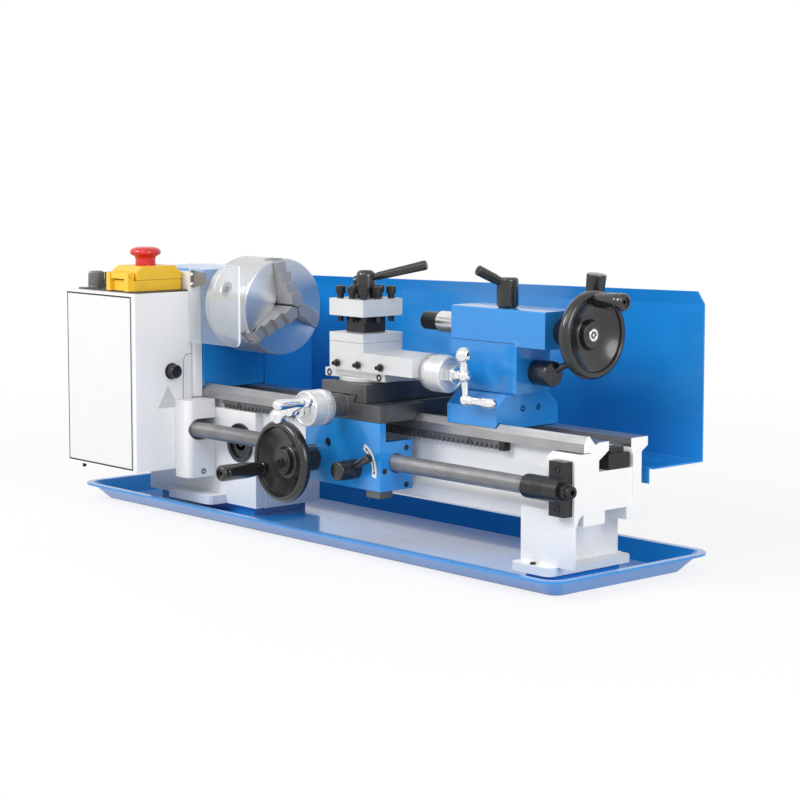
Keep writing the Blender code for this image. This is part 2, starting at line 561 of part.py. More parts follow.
def make_controls():
    """Speed knob, direction switch, and the emergency stop with its hinged lid."""
    top = BOX_TOP + 1.5 + GAP
    knob = turned("Z", -316, -108, [(top, 8.6), (top + 16, 8.2), (top + 17.5, 7.2)], 20)
    piece("speed_knob", knob, "grey_plastic", (-316, -108, top))
    disc = cylinder("Z", -328.5, -81, 9.0, top, top + 5)
    bar = box(-331.5, -325.5, -89, -73, top + 4, top + 15)
    piece("direction_switch", join(disc, bar), "black_plastic", (-328.5, -81, top))
    left, right = ESTOP_X - 22.5, ESTOP_X + 22.5
    front, back = ESTOP_Y - 31, ESTOP_Y + 29
    base = box(left, right, front, back, top, top + 11)
    ears = join(box(left + 3, left + 9, front - 5, front + 3, top, top + 18.5),
                box(right - 9, right - 3, front - 5, front + 3, top, top + 18.5))
    pivot_z = top + 15.5
    pin_hole = cylinder("X", front - 1, pivot_z, 2.0, left - 5, right + 5, 12)
    piece("estop_base", cut(join(base, ears), pin_hole), "yellow_plastic")
    lid_low = top + 11 + GAP
    lid = prism("X", [(front + 4.6, lid_low), (back + 1, lid_low), (back + 1, lid_low + 6),
                      (back - 8, lid_low + 14), (front + 12, lid_low + 14),
                      (front + 4.6, lid_low + 9)], left, right)
    knuckle = box(left + 10, right - 10, front - 4, front + 6, pivot_z - 3.0, pivot_z + 3.0)
    pin = cylinder("X", front - 1, pivot_z, 1.6, left + 1, right - 1, 12)
    well = cylinder("Z", ESTOP_X, ESTOP_Y, 11.0 + GAP, lid_low + 6, lid_low + 20)
    stem_hole = cylinder("Z", ESTOP_X, ESTOP_Y, 4.0 + GAP, lid_low - 1, lid_low + 10, 12)
    piece("estop_lid", cut(join(lid, knuckle, pin), well, stem_hole), "yellow_plastic",
          (ESTOP_X, front - 1, pivot_z))
    base_z = lid_low + 6 + 4.0
    button = turned("Z", ESTOP_X, ESTOP_Y, [
        (base_z, 10.6), (base_z + 14.5, 10.6), (base_z + 17, 15.6), (base_z + 19.5, 16.2),
        (base_z + 22, 15.0), (base_z + 23.4, 10.0)], 28)
    stem = cylinder("Z", ESTOP_X, ESTOP_Y, 4.0, lid_low + 3.5, base_z + 1, 12)
    piece("estop_button", join(button, stem), "red_plastic", (ESTOP_X, ESTOP_Y, base_z))


def make_guard():
    """Clear sheet in front of the chuck, on an arm whose pin turns in the headstock's cover."""
    sheet = prism("Y", arc(GUARD_RIGHT - 6, GUARD_BOTTOM + 6, 6, 270, 360, 4)
                  + [(GUARD_RIGHT, GUARD_TOP), (GUARD_LEFT, GUARD_TOP), (GUARD_LEFT, GUARD_BOTTOM)],
                  GUARD_Y - GUARD_SHEET, GUARD_Y)
    arm = prism("X", [(GUARD_Y - 1, GUARD_PIVOT_Z - 9), (GUARD_PIVOT_Y + 4, GUARD_PIVOT_Z - 6),
                      (GUARD_PIVOT_Y + 4, GUARD_PIVOT_Z + 5), (GUARD_Y - 1, GUARD_PIVOT_Z + 9)],
                GUARD_LEFT + 0.5, GUARD_LEFT + 7)
    pin = cylinder("X", GUARD_PIVOT_Y, GUARD_PIVOT_Z, 3.0, HEAD_RIGHT + GAP, GUARD_LEFT + 3, 16)
    piece("chuck_guard", join(sheet, arm, pin), "clear_plastic",
          (HEAD_RIGHT, GUARD_PIVOT_Y, GUARD_PIVOT_Z))


def make_splash_guard():
    """Bent sheet behind the bed: flange, shelf, tall wall and a band leaning forward on top."""
    t, back = SPLASH_SHEET, SPLASH_Y
    front = BED_HALF + GAP + 0.2
    band_z = SPLASH_TOP - 13.0
    outline = [
        (front, SPLASH_SHELF - 15), (front + t, SPLASH_SHELF - 15), (front + t, SPLASH_SHELF - t),
        (back + t, SPLASH_SHELF - t), (back + t, band_z), (back - 3 + t, SPLASH_TOP),
        (back - 3, SPLASH_TOP), (back, band_z), (back, SPLASH_SHELF), (front, SPLASH_SHELF)]
    sheet = prism("X", outline, SPLASH_LEFT, SPLASH_RIGHT)
    for vert in sheet.data.vertices:
        if vert.co.x < 0 and vert.co.z > (SPLASH_SHELF + 1) * MM:
            vert.co.z -= SPLASH_DROP * MM
    corner = prism("Y", [(SPLASH_RIGHT - 6, SPLASH_TOP + 1), (SPLASH_RIGHT + 1, band_z),
                         (SPLASH_RIGHT + 9, SPLASH_TOP + 9)], back - 20, back + 20)
    side = box(BED_RIGHT + 1, SPLASH_RIGHT + 9, front - 5, front + t + 0.5,
               SPLASH_SHELF - 30, SPLASH_SHELF - t)
    piece("splash_guard", cut(sheet, corner, side), "blue_paint")


# ---- spindle and chuck ----
def make_spindle():
    left = BOX_LEFT + 3.0
    flange = CHUCK_BACK - BACKPLATE - GAP
    profile = [(left, BORE_R), (left, 14.0), (HEAD_LEFT - 2.0, 14.0), (HEAD_LEFT - 2.0, 16.0),
               (HEAD_RIGHT + 0.5, 16.0), (HEAD_RIGHT + 0.5, 27.0), (flange, 27.0), (flange, BORE_R)]
    shape = turned("X", 0, AXIS_Z, profile, 28, ring=True)
    piece("spindle", shape, "ground_steel", (HEAD_RIGHT, 0, AXIS_Z))


def make_chuck():
    """Backplate, body with slots for three jaws, scroll plate, jaws and key pinions."""
    plate = tube("X", 0, AXIS_Z, CHUCK_R - 3.0, BORE_R + 1, CHUCK_BACK - BACKPLATE, CHUCK_BACK - GAP,
                 36)
    piece("chuck_backplate", plate, "cast_iron", (CHUCK_BACK, 0, AXIS_Z))
    body = turned("X", 0, AXIS_Z, [
        (CHUCK_BACK, BORE_R + 1), (CHUCK_BACK, CHUCK_R - 1.2), (CHUCK_BACK + 1.2, CHUCK_R),
        (CHUCK_FACE - 1.5, CHUCK_R), (CHUCK_FACE, CHUCK_R - 1.5), (CHUCK_FACE, BORE_R + 1)],
        40, ring=True)
    groove = tube("X", 0, AXIS_Z, 43.0, BORE_R + 5.0, SCROLL_LEFT - GAP, SCROLL_RIGHT + GAP, 36)
    body = cut(body, groove)
    for k in range(3):
        slot = join(jaw_block(JAW_WIDTH / 2 + GAP, 0.0, 70.0, SCROLL_RIGHT, CHUCK_FACE + 5),
                    jaw_block(JAW_WIDTH / 2 + 2.5 + GAP, 0.0, 70.0, CHUCK_FACE - 11.3,
                              CHUCK_FACE - 6.0))
        body = cut(body, spin_to(slot, JAW_ANGLE + 120 * k))
    well = rod((PINION_AT, 0, AXIS_Z + 24.5), (PINION_AT, 0, AXIS_Z + 60), 7.5 + GAP, None, 20)
    body = cut(body, spin_to(well, JAW_ANGLE + 60))
    piece("chuck_body", body, "ground_steel", (CHUCK_BACK, 0, AXIS_Z))
    scroll = tube("X", 0, AXIS_Z, 43.0 - GAP, BORE_R + 5.0 + GAP, SCROLL_LEFT, SCROLL_RIGHT, 36)
    piece("chuck_scroll", scroll, "black_oxide", (CHUCK_BACK, 0, AXIS_Z))
    for k in range(3):
        piece("chuck_jaw_%d" % (k + 1), make_jaw(JAW_ANGLE + 120 * k), "ground_steel",
              (CHUCK_FACE, 0, AXIS_Z))
    piece("chuck_pinion", make_key_pinion(JAW_ANGLE + 60), "ground_steel", (PINION_AT, 0, AXIS_Z))


SCROLL_LEFT, SCROLL_RIGHT = -158.5, -150.0
PINION_AT = -168.0


def jaw_block(half, inner, outer, low, high):
    """A block that points up from the spindle axis, before it is turned to its jaw's angle."""
    return box(low, high, -half, half, AXIS_Z + inner, AXIS_Z + outer)


def spin_to(obj, angle):
    """Turn a shape that points up (+Z) to an angle from +Y towards +Z."""
    return turn(obj, "X", angle - 90.0, (0, 0, AXIS_Z))


def make_jaw(angle):
    """Stepped jaw with its tip at the centre and guide ribs in the body's slot."""
    half, face = JAW_WIDTH / 2, CHUCK_FACE
    tip = [(half * 0.16, 1.2), (half, 5.0), (half, 47.0), (-half, 47.0), (-half, 5.0),
           (-half * 0.16, 1.2)]
    root = prism("X", [(u, AXIS_Z + v) for u, v in tip], SCROLL_RIGHT + 2 * GAP, face + 4.0)
    ribs = jaw_block(half + 2.5, 14.0, 46.8, face - 11.0, face - 6.3)
    steps = prism("X", [(u, AXIS_Z + min(v, 16.0)) for u, v in tip], face + 3.0, face + 24.0)
    second = jaw_block(half, 15.0, 26.5, face + 3.0, face + 17.0)
    third = jaw_block(half, 26.0, 36.5, face + 3.0, face + 10.5)
    return spin_to(join(root, ribs, steps, second, third), angle)


def make_key_pinion(angle):
    """Pinion with a square key hole, seated in the side of the chuck body."""
    stem = rod((PINION_AT, 0, AXIS_Z + 25), (PINION_AT, 0, AXIS_Z + CHUCK_R - 0.8), 7.5, None, 20)
    square = jaw_block(3.5, CHUCK_R - 10, CHUCK_R + 4, PINION_AT - 3.5, PINION_AT + 3.5)
    return spin_to(cut(stem, square), angle)


# ---- leadscrew and carriage ----
def make_leadscrew():
    """Plain bar at the thread's outer size, with journals at both ends."""
    left = HEAD_LEFT - 24.0
    profile = [(left, 6.0), (HEAD_LEFT + 2, 6.0), (HEAD_LEFT + 2, SCREW_R), (287.0, SCREW_R),
               (287.0, 6.0), (331.5, 6.0)]
    shaft = turned("X", SCREW_Y, SCREW_Z, profile, 20)
    nut = cylinder("X", SCREW_Y, SCREW_Z, 8.0, 331.3, 337.0, 6)
    end = cylinder("X", SCREW_Y, SCREW_Z, 4.5, 336.0, 342.0, 16)
    piece("leadscrew", join(shaft, nut, end), "cast_iron", (0, SCREW_Y, SCREW_Z))


def make_saddle():
    """Carriage casting: wings over the ways, vee groove, dovetail ridge and screw boss."""
    left, right = CARRIAGE_X - SADDLE_HALF, CARRIAGE_X + SADDLE_HALF
    z = WAY_Z + SEAT
    section = [(SADDLE_FRONT, z)] + seat_outline() + [
        (SADDLE_BACK, z), (SADDLE_BACK, SADDLE_TOP - 4), (SADDLE_BACK - 4, SADDLE_TOP),
        (SADDLE_FRONT, SADDLE_TOP)]
    body = prism("X", section, left, right)
    low, high = SADDLE_TOP - 0.01, CROSS_TOP - 11.0
    ridge = prism("Y", [(CARRIAGE_X - 15, low - 2), (CARRIAGE_X + 15, low - 2),
                        (CARRIAGE_X + 15, low), (CARRIAGE_X + 19, high),
                        (CARRIAGE_X - 19, high), (CARRIAGE_X - 15, low)], SADDLE_FRONT, SADDLE_BACK - 4)
    boss = cylinder("Y", CARRIAGE_X, CROSS_SCREW_Z, 10.2, SADDLE_FRONT - 20, SADDLE_FRONT + 6)
    channel = cylinder("Y", CARRIAGE_X, CROSS_SCREW_Z, 5.5 + GAP, SADDLE_FRONT - 30, 30)
    waist = box(left - 1, left + 14, -30, 30, 120, 160)
    other = box(right - 14, right + 1, -30, 30, 120, 160)
    piece("saddle", cut(join(body, ridge, boss), channel, waist, other), "cast_iron")


def make_apron():
    """Blue front plate with end walls; the leadscrew passes behind it."""
    left, right = CARRIAGE_X - SADDLE_HALF, CARRIAGE_X + SADDLE_HALF
    top = WAY_Z
    front, back = SADDLE_FRONT, SADDLE_FRONT + APRON_PLATE
    plate = box(left, right, front, back, APRON_BOTTOM, top)
    walls = box(right - 9, right, back - 1, -44.0, APRON_BOTTOM, RAIL_BOTTOM - 10)
    screw_hole = cylinder("X", SCREW_Y, SCREW_Z, SCREW_R + 1.2, right - 20, right + 20)
    plate = join(plate, walls)
    wheel_hole = cylinder("Y", WHEEL_X, WHEEL_Z, 6.0 + GAP, front - 5, back + 5, 16)
    pinion_hole = cylinder("Y", PINION_X, RACK_AXIS_Z, 4.0 + GAP, front - 5, back + 5, 16)
    lever_hole = cylinder("Y", HALFNUT_X, HALFNUT_Z, 4.0 + GAP, front - 5, back + 5, 16)
    foot = box(right - 22, right - 3, front + 2, front + 18, APRON_BOTTOM - 7, APRON_BOTTOM + 2)
    shape = cut(join(plate, foot), screw_hole, wheel_hole, pinion_hole, lever_hole)
    piece("apron", shape, "blue_paint")


RACK_TEETH = 11
RACK_AXIS_Z = RACK_TIP + RACK_MODULE - RACK_MODULE * RACK_TEETH / 2
REDUCTION_MODULE = 1.6


def apron_gear_teeth():
    """Tooth counts of the handwheel's pinion and the gear on the rack pinion's shaft."""
    span = hypot(PINION_X - WHEEL_X, RACK_AXIS_Z - WHEEL_Z)
    total = int(2 * span / REDUCTION_MODULE)
    return 10, total - 10


def make_rack_pinion():
    back = SADDLE_FRONT + APRON_PLATE
    small, large = apron_gear_teeth()
    bearing = degrees(atan2(RACK_AXIS_Z - WHEEL_Z, PINION_X - WHEEL_X))
    large_turn = mesh_phase(small, 0.0, large, bearing)
    step = 360.0 / RACK_TEETH
    teeth = gear_outline(RACK_TEETH, RACK_MODULE, 90.0 + step / 2, PINION_X, RACK_AXIS_Z, 0.9)
    pinion = prism("Y", teeth, -BED_HALF, RACK_BACK - 0.4)
    shaft = cylinder("Y", PINION_X, RACK_AXIS_Z, 4.0, SADDLE_FRONT + 2, -BED_HALF + 2, 16)
    gear = prism("Y", gear_outline(large, REDUCTION_MODULE, large_turn, PINION_X, RACK_AXIS_Z, 0.5),
                 back + GAP, back + GAP + 3.6)
    piece("rack_pinion", join(gear, shaft, pinion), "black_oxide", (PINION_X, 0, RACK_AXIS_Z))


def handwheel(axis, u, v, face, sign):
    """Dished wheel with a round rim; sign points from the machine to the operator."""
    profile = [(face - sign * (WHEEL_RIM + 10), 11.0), (face - sign * (WHEEL_RIM + 2), 13.0),
               (face - sign * WHEEL_RIM, WHEEL_R - 5), (face - sign * (WHEEL_RIM - 2.5), WHEEL_R - 1),
               (face - sign * WHEEL_RIM * 0.5, WHEEL_R), (face - sign * 2.0, WHEEL_R - 1),
               (face, WHEEL_R - 4), (face - sign * 1.5, WHEEL_R - 6.5),
               (face - sign * (WHEEL_RIM - 3), 14.0), (face - sign * 5.5, 11.0),
               (face - sign * 4.5, 8.0), (face - sign * 4.5, 0.0)]
    profile.insert(0, (face - sign * (WHEEL_RIM + 10), 0.0))
    return turned(axis, u, v, profile, 28)


def grip_profile(base, sign, length=47.0, radius=7.6):
    return [(base, 0.0), (base, 4.6), (base + sign * 2, 5.6), (base + sign * length * 0.35, radius),
            (base + sign * (length - 3), radius + 0.3), (base + sign * length, radius - 1.2),
            (base + sign * length, 0.0)]


def make_carriage_wheel():
    """Handwheel, its shaft through the apron and the small pinion behind the plate."""
    small, _ = apron_gear_teeth()
    back = SADDLE_FRONT + APRON_PLATE
    face = WHEEL_FACE
    wheel = handwheel("Y", WHEEL_X, WHEEL_Z, face, -1)
    shaft = cylinder("Y", WHEEL_X, WHEEL_Z, 6.0, face + WHEEL_RIM + 8, back + GAP + 0.2, 16)
    teeth = gear_outline(small, REDUCTION_MODULE, 0.0, WHEEL_X, WHEEL_Z, 0.5)
    gear = prism("Y", teeth, back + GAP, back + GAP + 3.6)
    collar = cylinder("Y", WHEEL_X, WHEEL_Z, 13.0, face + WHEEL_RIM + 2, SADDLE_FRONT - GAP, 20)
    turn_out = radians(199.0)
    gx, gz = WHEEL_X + WHEEL_GRIP_R * cos(turn_out), WHEEL_Z + WHEEL_GRIP_R * sin(turn_out)
    grip = turned("Y", gx, gz, grip_profile(face + 6.0, -1, 53.0), 12)
    shape = join(wheel, shaft, collar, gear, grip)
    piece("carriage_wheel", shape, "black_plastic", (WHEEL_X, WHEEL_FACE, WHEEL_Z))


def half_ring(sign, travel):
    """One half nut round the leadscrew, drawn open by its travel."""
    half = 14.0
    z0, z1 = (SCREW_Z + 0.4, SCREW_Z + 14.0) if sign > 0 else (SCREW_Z - 14.0, SCREW_Z - 0.4)
    back = SADDLE_FRONT + APRON_PLATE + GAP
    block = box(HALFNUT_X - half, HALFNUT_X + half, back, SCREW_Y + 12, z0 + sign * travel,
                z1 + sign * travel)
    bore = cylinder("X", SCREW_Y, SCREW_Z + sign * travel, SCREW_R + 0.25, HALFNUT_X - 30,
                    HALFNUT_X + 30)
    return cut(block, bore)


HALFNUT_TRAVEL = 4.0


def make_half_nuts():
    """Half nuts (open) and the lever that closes them, on the apron's front."""
    piece("half_nut_upper", half_ring(1, HALFNUT_TRAVEL), "brass", (HALFNUT_X, SCREW_Y, SCREW_Z))
    piece("half_nut_lower", half_ring(-1, HALFNUT_TRAVEL), "brass", (HALFNUT_X, SCREW_Y, SCREW_Z))
    front = SADDLE_FRONT
    hub = turned("Y", HALFNUT_X, HALFNUT_Z, [(front - GAP, 9.8), (front - 22, 9.2),
                                             (front - 23.5, 8.2)], 20)
    shaft = cylinder("Y", HALFNUT_X, HALFNUT_Z, 4.0, front - 6, front + APRON_PLATE - 0.5, 16)
    arm_end = (HALFNUT_X + 28.0, front - 7.5, HALFNUT_Z + 14.0)
    arm = rod((HALFNUT_X + 4.0, front - 7.5, HALFNUT_Z + 2.0), arm_end, 3.2, 4.2)
    piece("half_nut_lever", join(hub, shaft, arm), "black_oxide", (HALFNUT_X, front, HALFNUT_Z))


def crank(axis_point, outward, long_dir, long_r, short_r, grip_length):
    """Balanced three-ball crank: hub ball, counterweight ball, handle ball and its grip."""
    hub, out, arm = Vector(axis_point), Vector(outward), Vector(long_dir).normalized()
    far, near = hub + arm * long_r, hub - arm * short_r
    shape = ball(hub, 6.2)
    shape = join(shape, rod(hub, far, 3.6, 3.0), rod(hub, near, 3.6, 3.6))
    shape = join(shape, ball(far, 5.6), ball(near, 7.6))
    grip_start, grip_end = far + out * 3.0, far + out * grip_length
    return join(shape, rod(grip_start, grip_end, 3.0, 5.0, 14))


def make_cross_slide():
    """Grey slide on the saddle's dovetail, and its screw with dial and ball crank."""
    left, right = CARRIAGE_X - CROSS_HALF, CARRIAGE_X + CROSS_HALF
    bottom = SADDLE_TOP + GAP
    body = box(left, right, CROSS_FRONT, CROSS_BACK, bottom, CROSS_TOP)
    tail = SADDLE_TOP
    high = CROSS_TOP - 11.0 + GAP
    groove = prism("Y", [(CARRIAGE_X - 15 - GAP, tail - 5), (CARRIAGE_X + 15 + GAP, tail - 5),
                         (CARRIAGE_X + 15 + GAP, tail + 0.2), (CARRIAGE_X + 19 + 1.6 * GAP, high),
                         (CARRIAGE_X - 19 - 1.6 * GAP, high), (CARRIAGE_X - 15 - GAP, tail + 0.2)],
                   CROSS_FRONT - 10, CROSS_BACK + 10)
    piece("cross_slide", cut(body, groove), "cast_iron", (CARRIAGE_X, 0, CROSS_TOP))
    boss_end = SADDLE_FRONT - 20
    screw = cylinder("Y", CARRIAGE_X, CROSS_SCREW_Z, 5.5, boss_end - 42, 26, 16)
    dial = turned("Y", CARRIAGE_X, CROSS_SCREW_Z, [
        (boss_end - GAP, 16.0), (boss_end - 6, 17.0), (boss_end - 24, 17.0), (boss_end - 26, 15.5)],
        32)
    nut = cylinder("Y", CARRIAGE_X, CROSS_SCREW_Z, 9.0, boss_end - 34, boss_end - 25, 6)
    hub = (CARRIAGE_X, -147.0, CROSS_SCREW_Z)
    direction = (cos(radians(22)), 0.0, sin(radians(22)))
    handle = crank(hub, (0, -1, 0), direction, 27.0, 19.0, 38.0)
    shape = join(screw, dial, nut, handle)
    piece("cross_handle", shape, "ground_steel", hub)


def make_compound():
    """Swivel base, top slide with its raised block, and its screw with dial and crank."""
    front, side = SWIVEL_Y - 22.0, 43.4
    centre = (SWIVEL_X, SWIVEL_Y, CROSS_TOP)
    plate = cylinder("Z", SWIVEL_X, SWIVEL_Y, 30.0, CROSS_TOP + GAP, CROSS_TOP + 5, 36)
    low, high = CROSS_TOP + 2.5, SWIVEL_TOP
    bar = box(SWIVEL_X - side + 2, SWIVEL_X + side + 2, front, SWIVEL_Y + 18, low, high)
    rise = POST_Y
    dovetail = prism("X", [(rise - 10, high - 1), (rise + 10, high - 1), (rise + 10, high),
                           (rise + 13, high + 7), (rise - 13, high + 7), (rise - 10, high)],
                     SWIVEL_X - side + 2, SWIVEL_X + side + 2)
    screw_way = cylinder("X", POST_Y, COMPOUND_Z, 4.0 + GAP, SWIVEL_X - 60, SWIVEL_X + 60, 16)
    piece("compound_base", cut(join(bar, plate, dovetail), screw_way), "ground_steel", centre)
    left, right = POST_X - POST_SIDE / 2, POST_X + POST_SIDE / 2
    y0, y1 = POST_Y - POST_SIDE / 2, POST_Y + POST_SIDE / 2
    body = box(left, SLIDE_RIGHT, y0, y1, SWIVEL_TOP + GAP, SLIDE_TOP)
    block = box(left, right, y0, y1, SLIDE_TOP - 1, SLIDE_BLOCK_TOP)
    stud = cylinder("Z", POST_X, POST_Y, 5.0, SLIDE_BLOCK_TOP - 2, 251.0, 16)
    groove = prism("X", [(rise - 10 - GAP, high - 5), (rise + 10 + GAP, high - 5),
                         (rise + 10 + GAP, high + 0.2), (rise + 13 + 1.4 * GAP, high + 7 + GAP),
                         (rise - 13 - 1.4 * GAP, high + 7 + GAP), (rise - 10 - GAP, high + 0.2)],
                   left - 10, SLIDE_RIGHT + 10)
    bearing = cylinder("X", POST_Y, COMPOUND_Z, 9.0, SLIDE_RIGHT - 16, SLIDE_RIGHT)
    tunnel = cylinder("X", POST_Y, COMPOUND_Z, 4.0 + GAP, left - 5, SLIDE_RIGHT + 5, 16)
    shape = join(cut(join(body, block, stud), groove), bearing)
    piece("compound_slide", cut(shape, tunnel), "ground_steel", (POST_X, POST_Y, SLIDE_TOP))
    make_compound_handle()


def make_compound_handle():
    end = SLIDE_RIGHT
    screw = cylinder("X", POST_Y, COMPOUND_Z, 4.0, SWIVEL_X - 20, end + 44, 16)
    dial = turned("X", POST_Y, COMPOUND_Z, [
        (end + GAP, 16.0), (end + 6, 17.5), (end + 25, 17.5), (end + 27, 16.0)], 32)
    nut = cylinder("X", POST_Y, COMPOUND_Z, 9.0, end + 26, end + 36, 6)
    hub = (end + 44.0, POST_Y, COMPOUND_Z)
    handle = crank(hub, (1, 0, 0), (0.0, 0.05, -1.0), 22.0, 19.0, 38.0)
    piece("compound_handle", join(screw, dial, nut, handle), "ground_steel", hub)


POST_LOW, POST_SLOT, POST_SLOT_TOP, POST_TOP = 197.7, 206.0, 222.0, 238.0
BOLT_OFFSET = 17.0


def make_tool_post():
    """Four-way tool post with its eight clamp screws, and the clamp lever on top."""
    half = POST_SIDE / 2
    x0, x1, y0, y1 = POST_X - half, POST_X + half, POST_Y - half, POST_Y + half
    lower = box(x0, x1, y0, y1, POST_LOW, POST_SLOT)
    core = box(POST_X - 13, POST_X + 13, POST_Y - 13, POST_Y + 13, POST_SLOT - 1, POST_SLOT_TOP + 1)
    upper = box(x0, x1, y0, y1, POST_SLOT_TOP, POST_TOP)
    shape = join(lower, core, upper)
    for turn_k in range(4):
        for offset in (-BOLT_OFFSET, 0.0):
            bolt = turned("Z", POST_X + offset, POST_Y - BOLT_OFFSET, [
                (POST_SLOT_TOP - 6, 3.0), (POST_TOP + 4.5, 3.0), (POST_TOP + 4.5, 4.6),
                (POST_TOP + 11.5, 4.6)], 6)
            shape = join(shape, turn(bolt, "Z", 90.0 * turn_k, (POST_X, POST_Y, 0)))
    hole = cylinder("Z", POST_X, POST_Y, 5.0 + GAP, POST_LOW - 5, POST_TOP + 5, 16)
    piece("tool_post", cut(shape, hole), "ground_steel", (POST_X, POST_Y, POST_LOW))
    hub = turned("Z", POST_X, POST_Y, [(POST_TOP + GAP, 10.0), (POST_TOP + 24, 9.0),
                                       (POST_TOP + 26.5, 6.5)], 24)
    socket = cylinder("Z", POST_X, POST_Y, 5.0 + GAP, POST_TOP - 5, POST_TOP + 14, 16)
    reach = Vector((cos(radians(32)), sin(radians(32)), 0.24))
    start = Vector((POST_X, POST_Y, POST_TOP + 18.0))
    arm = rod(start, start + reach * 60.0, 3.6, 4.6)
    piece("tool_lever", cut(join(hub, arm), socket), "black_plastic", (POST_X, POST_Y, POST_TOP))


# ---- tailstock ----
def make_tailstock():
    section = [(-40, WAY_Z + SEAT + 1.8)] + seat_outline()[1:] + [
        (40, WAY_Z + SEAT), (40, 146), (27, TAIL_BASE_TOP), (-27, TAIL_BASE_TOP), (-40, 146)]
    base = prism("X", section, TAIL_BASE_LEFT, TAIL_BASE_RIGHT)
    piece("tailstock_base", base, "blue_paint", (TAIL_BASE_LEFT, 0, WAY_Z))
    half, low = TAIL_HALF, TAIL_BASE_TOP + GAP
    pedestal = box(TAIL_LEFT, TAIL_PEDESTAL_RIGHT, -half + 0.5, half - 0.5, low, 203)
    barrel = prism("X", rounded(-half, half, TAIL_BARREL_BOTTOM, TAIL_TOP, 2.0, 2),
                   TAIL_LEFT, TAIL_RIGHT)
    bore = cylinder("X", 0, AXIS_Z, QUILL_R + GAP, TAIL_LEFT - 5, TAIL_RIGHT - 12)
    screw = cylinder("X", 0, AXIS_Z, 5.0 + GAP, TAIL_LEFT - 5, TAIL_RIGHT + 5, 16)
    lock = cylinder("Z", LOCK_X, LOCK_Y, 4.0 + GAP, AXIS_Z + QUILL_R - 1, TAIL_TOP + 5, 12)
    cam = cylinder("X", CLAMP_Y, CLAMP_Z, 5.0 + GAP, TAIL_PEDESTAL_RIGHT - 30,
                   TAIL_PEDESTAL_RIGHT + 5, 16)
    shape = cut(join(pedestal, barrel), bore, screw, lock, cam)
    piece("tailstock_body", shape, "blue_paint", (TAIL_LEFT, 0, AXIS_Z))


LOCK_X, LOCK_Y = 205.0, -8.0
CLAMP_Y, CLAMP_Z = 4.0, 177.0


def make_quill():
    """Quill with its centre, the feed wheel and the two clamp levers."""
    quill = turned("X", 0, AXIS_Z, [(QUILL_FRONT, 6.4), (QUILL_FRONT, QUILL_R),
                                    (204.0, QUILL_R), (204.0, 5.0 + GAP), (150.0, 5.0 + GAP),
                                    (138.0, 5.0 + GAP)], 24, ring=True)
    piece("quill", quill, "ground_steel", (QUILL_FRONT, 0, AXIS_Z))
    centre = turned("X", 0, AXIS_Z, [(78.2, 0.0), (87.5, 8.6), (QUILL_FRONT - 0.4, 8.6),
                                     (QUILL_FRONT - 0.4, 6.0),
                                     (134.0, 4.6), (134.0, 0.0)], 20)
    piece("dead_centre", centre, "black_oxide", (QUILL_FRONT, 0, AXIS_Z))
    face = TAIL_WHEEL_FACE
    wheel = handwheel("X", 0, AXIS_Z, face, 1)
    shaft = cylinder("X", 0, AXIS_Z, 5.0, 176.0, face - WHEEL_RIM - 8, 16)
    collar = cylinder("X", 0, AXIS_Z, 12.5, TAIL_RIGHT + GAP, face - WHEEL_RIM - 2)
    grip = turned("X", -1.0, AXIS_Z + 31.0, grip_profile(face - 6.0, 1, 40.0), 12)
    piece("tail_wheel", join(wheel, shaft, collar, grip), "black_plastic", (face, 0, AXIS_Z))
    hub = turned("Z", LOCK_X, LOCK_Y, [(TAIL_TOP + GAP, 10.0), (TAIL_TOP + 25, 10.0),
                                       (TAIL_TOP + 27.5, 8.0)], 24)
    shank = cylinder("Z", LOCK_X, LOCK_Y, 4.0, AXIS_Z + QUILL_R + GAP, TAIL_TOP + 4, 12)
    arm = rod((LOCK_X, LOCK_Y, TAIL_TOP + 20), (LOCK_X - 9, LOCK_Y - 29, TAIL_TOP + 35), 4.2, 4.8)
    piece("quill_lever", join(hub, shank, arm), "black_plastic", (LOCK_X, LOCK_Y, TAIL_TOP))
    start = TAIL_PEDESTAL_RIGHT
    hub = turned("X", CLAMP_Y, CLAMP_Z, [(start + GAP, 11.5), (start + 21, 12.0),
                                         (start + 22.5, 11.0)], 24)
    shank = cylinder("X", CLAMP_Y, CLAMP_Z, 5.0, start - 29, start + 4, 16)
    elbow = (274.0, 18.0, 194.0)
    lean = join(rod((start + 17, CLAMP_Y + 3, CLAMP_Z + 1), elbow, 3.2),
                rod(elbow, (281.5, 25.0, 246.0), 3.2))
    grip = rod((281.0, 25.0, 243.0), (284.5, 25.0, 268.0), 8.0, 9.2, 14)
    piece("clamp_lever", join(hub, shank, lean, grip), "black_plastic", (start, CLAMP_Y, CLAMP_Z))


def main():
    for obj in list(bpy.data.objects):
        bpy.data.objects.remove(obj)
    for make in (make_chip_tray, make_bed, make_rack, make_bed_stop, make_screw_brackets,
                 make_headstock, make_bearings, make_headstock_cover, make_control_box,
                 make_screw_cover, make_motor_cover, make_drive, make_change_gears,
                 make_gear_cover, make_controls, make_guard, make_splash_guard, make_spindle,
                 make_chuck, make_leadscrew, make_saddle, make_apron, make_rack_pinion,
                 make_carriage_wheel, make_half_nuts, make_cross_slide, make_compound,
                 make_tool_post, make_tailstock, make_quill):
        make()


main()
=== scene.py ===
"""Benchtop metal lathe: finished pieces on the CAD frame, with floor, light and camera."""
from math import atan2, cos, pi, radians, sin

import bmesh
import bpy
from bpy.props import FloatProperty, FloatVectorProperty, IntProperty, PointerProperty
from mathutils import Matrix, Vector


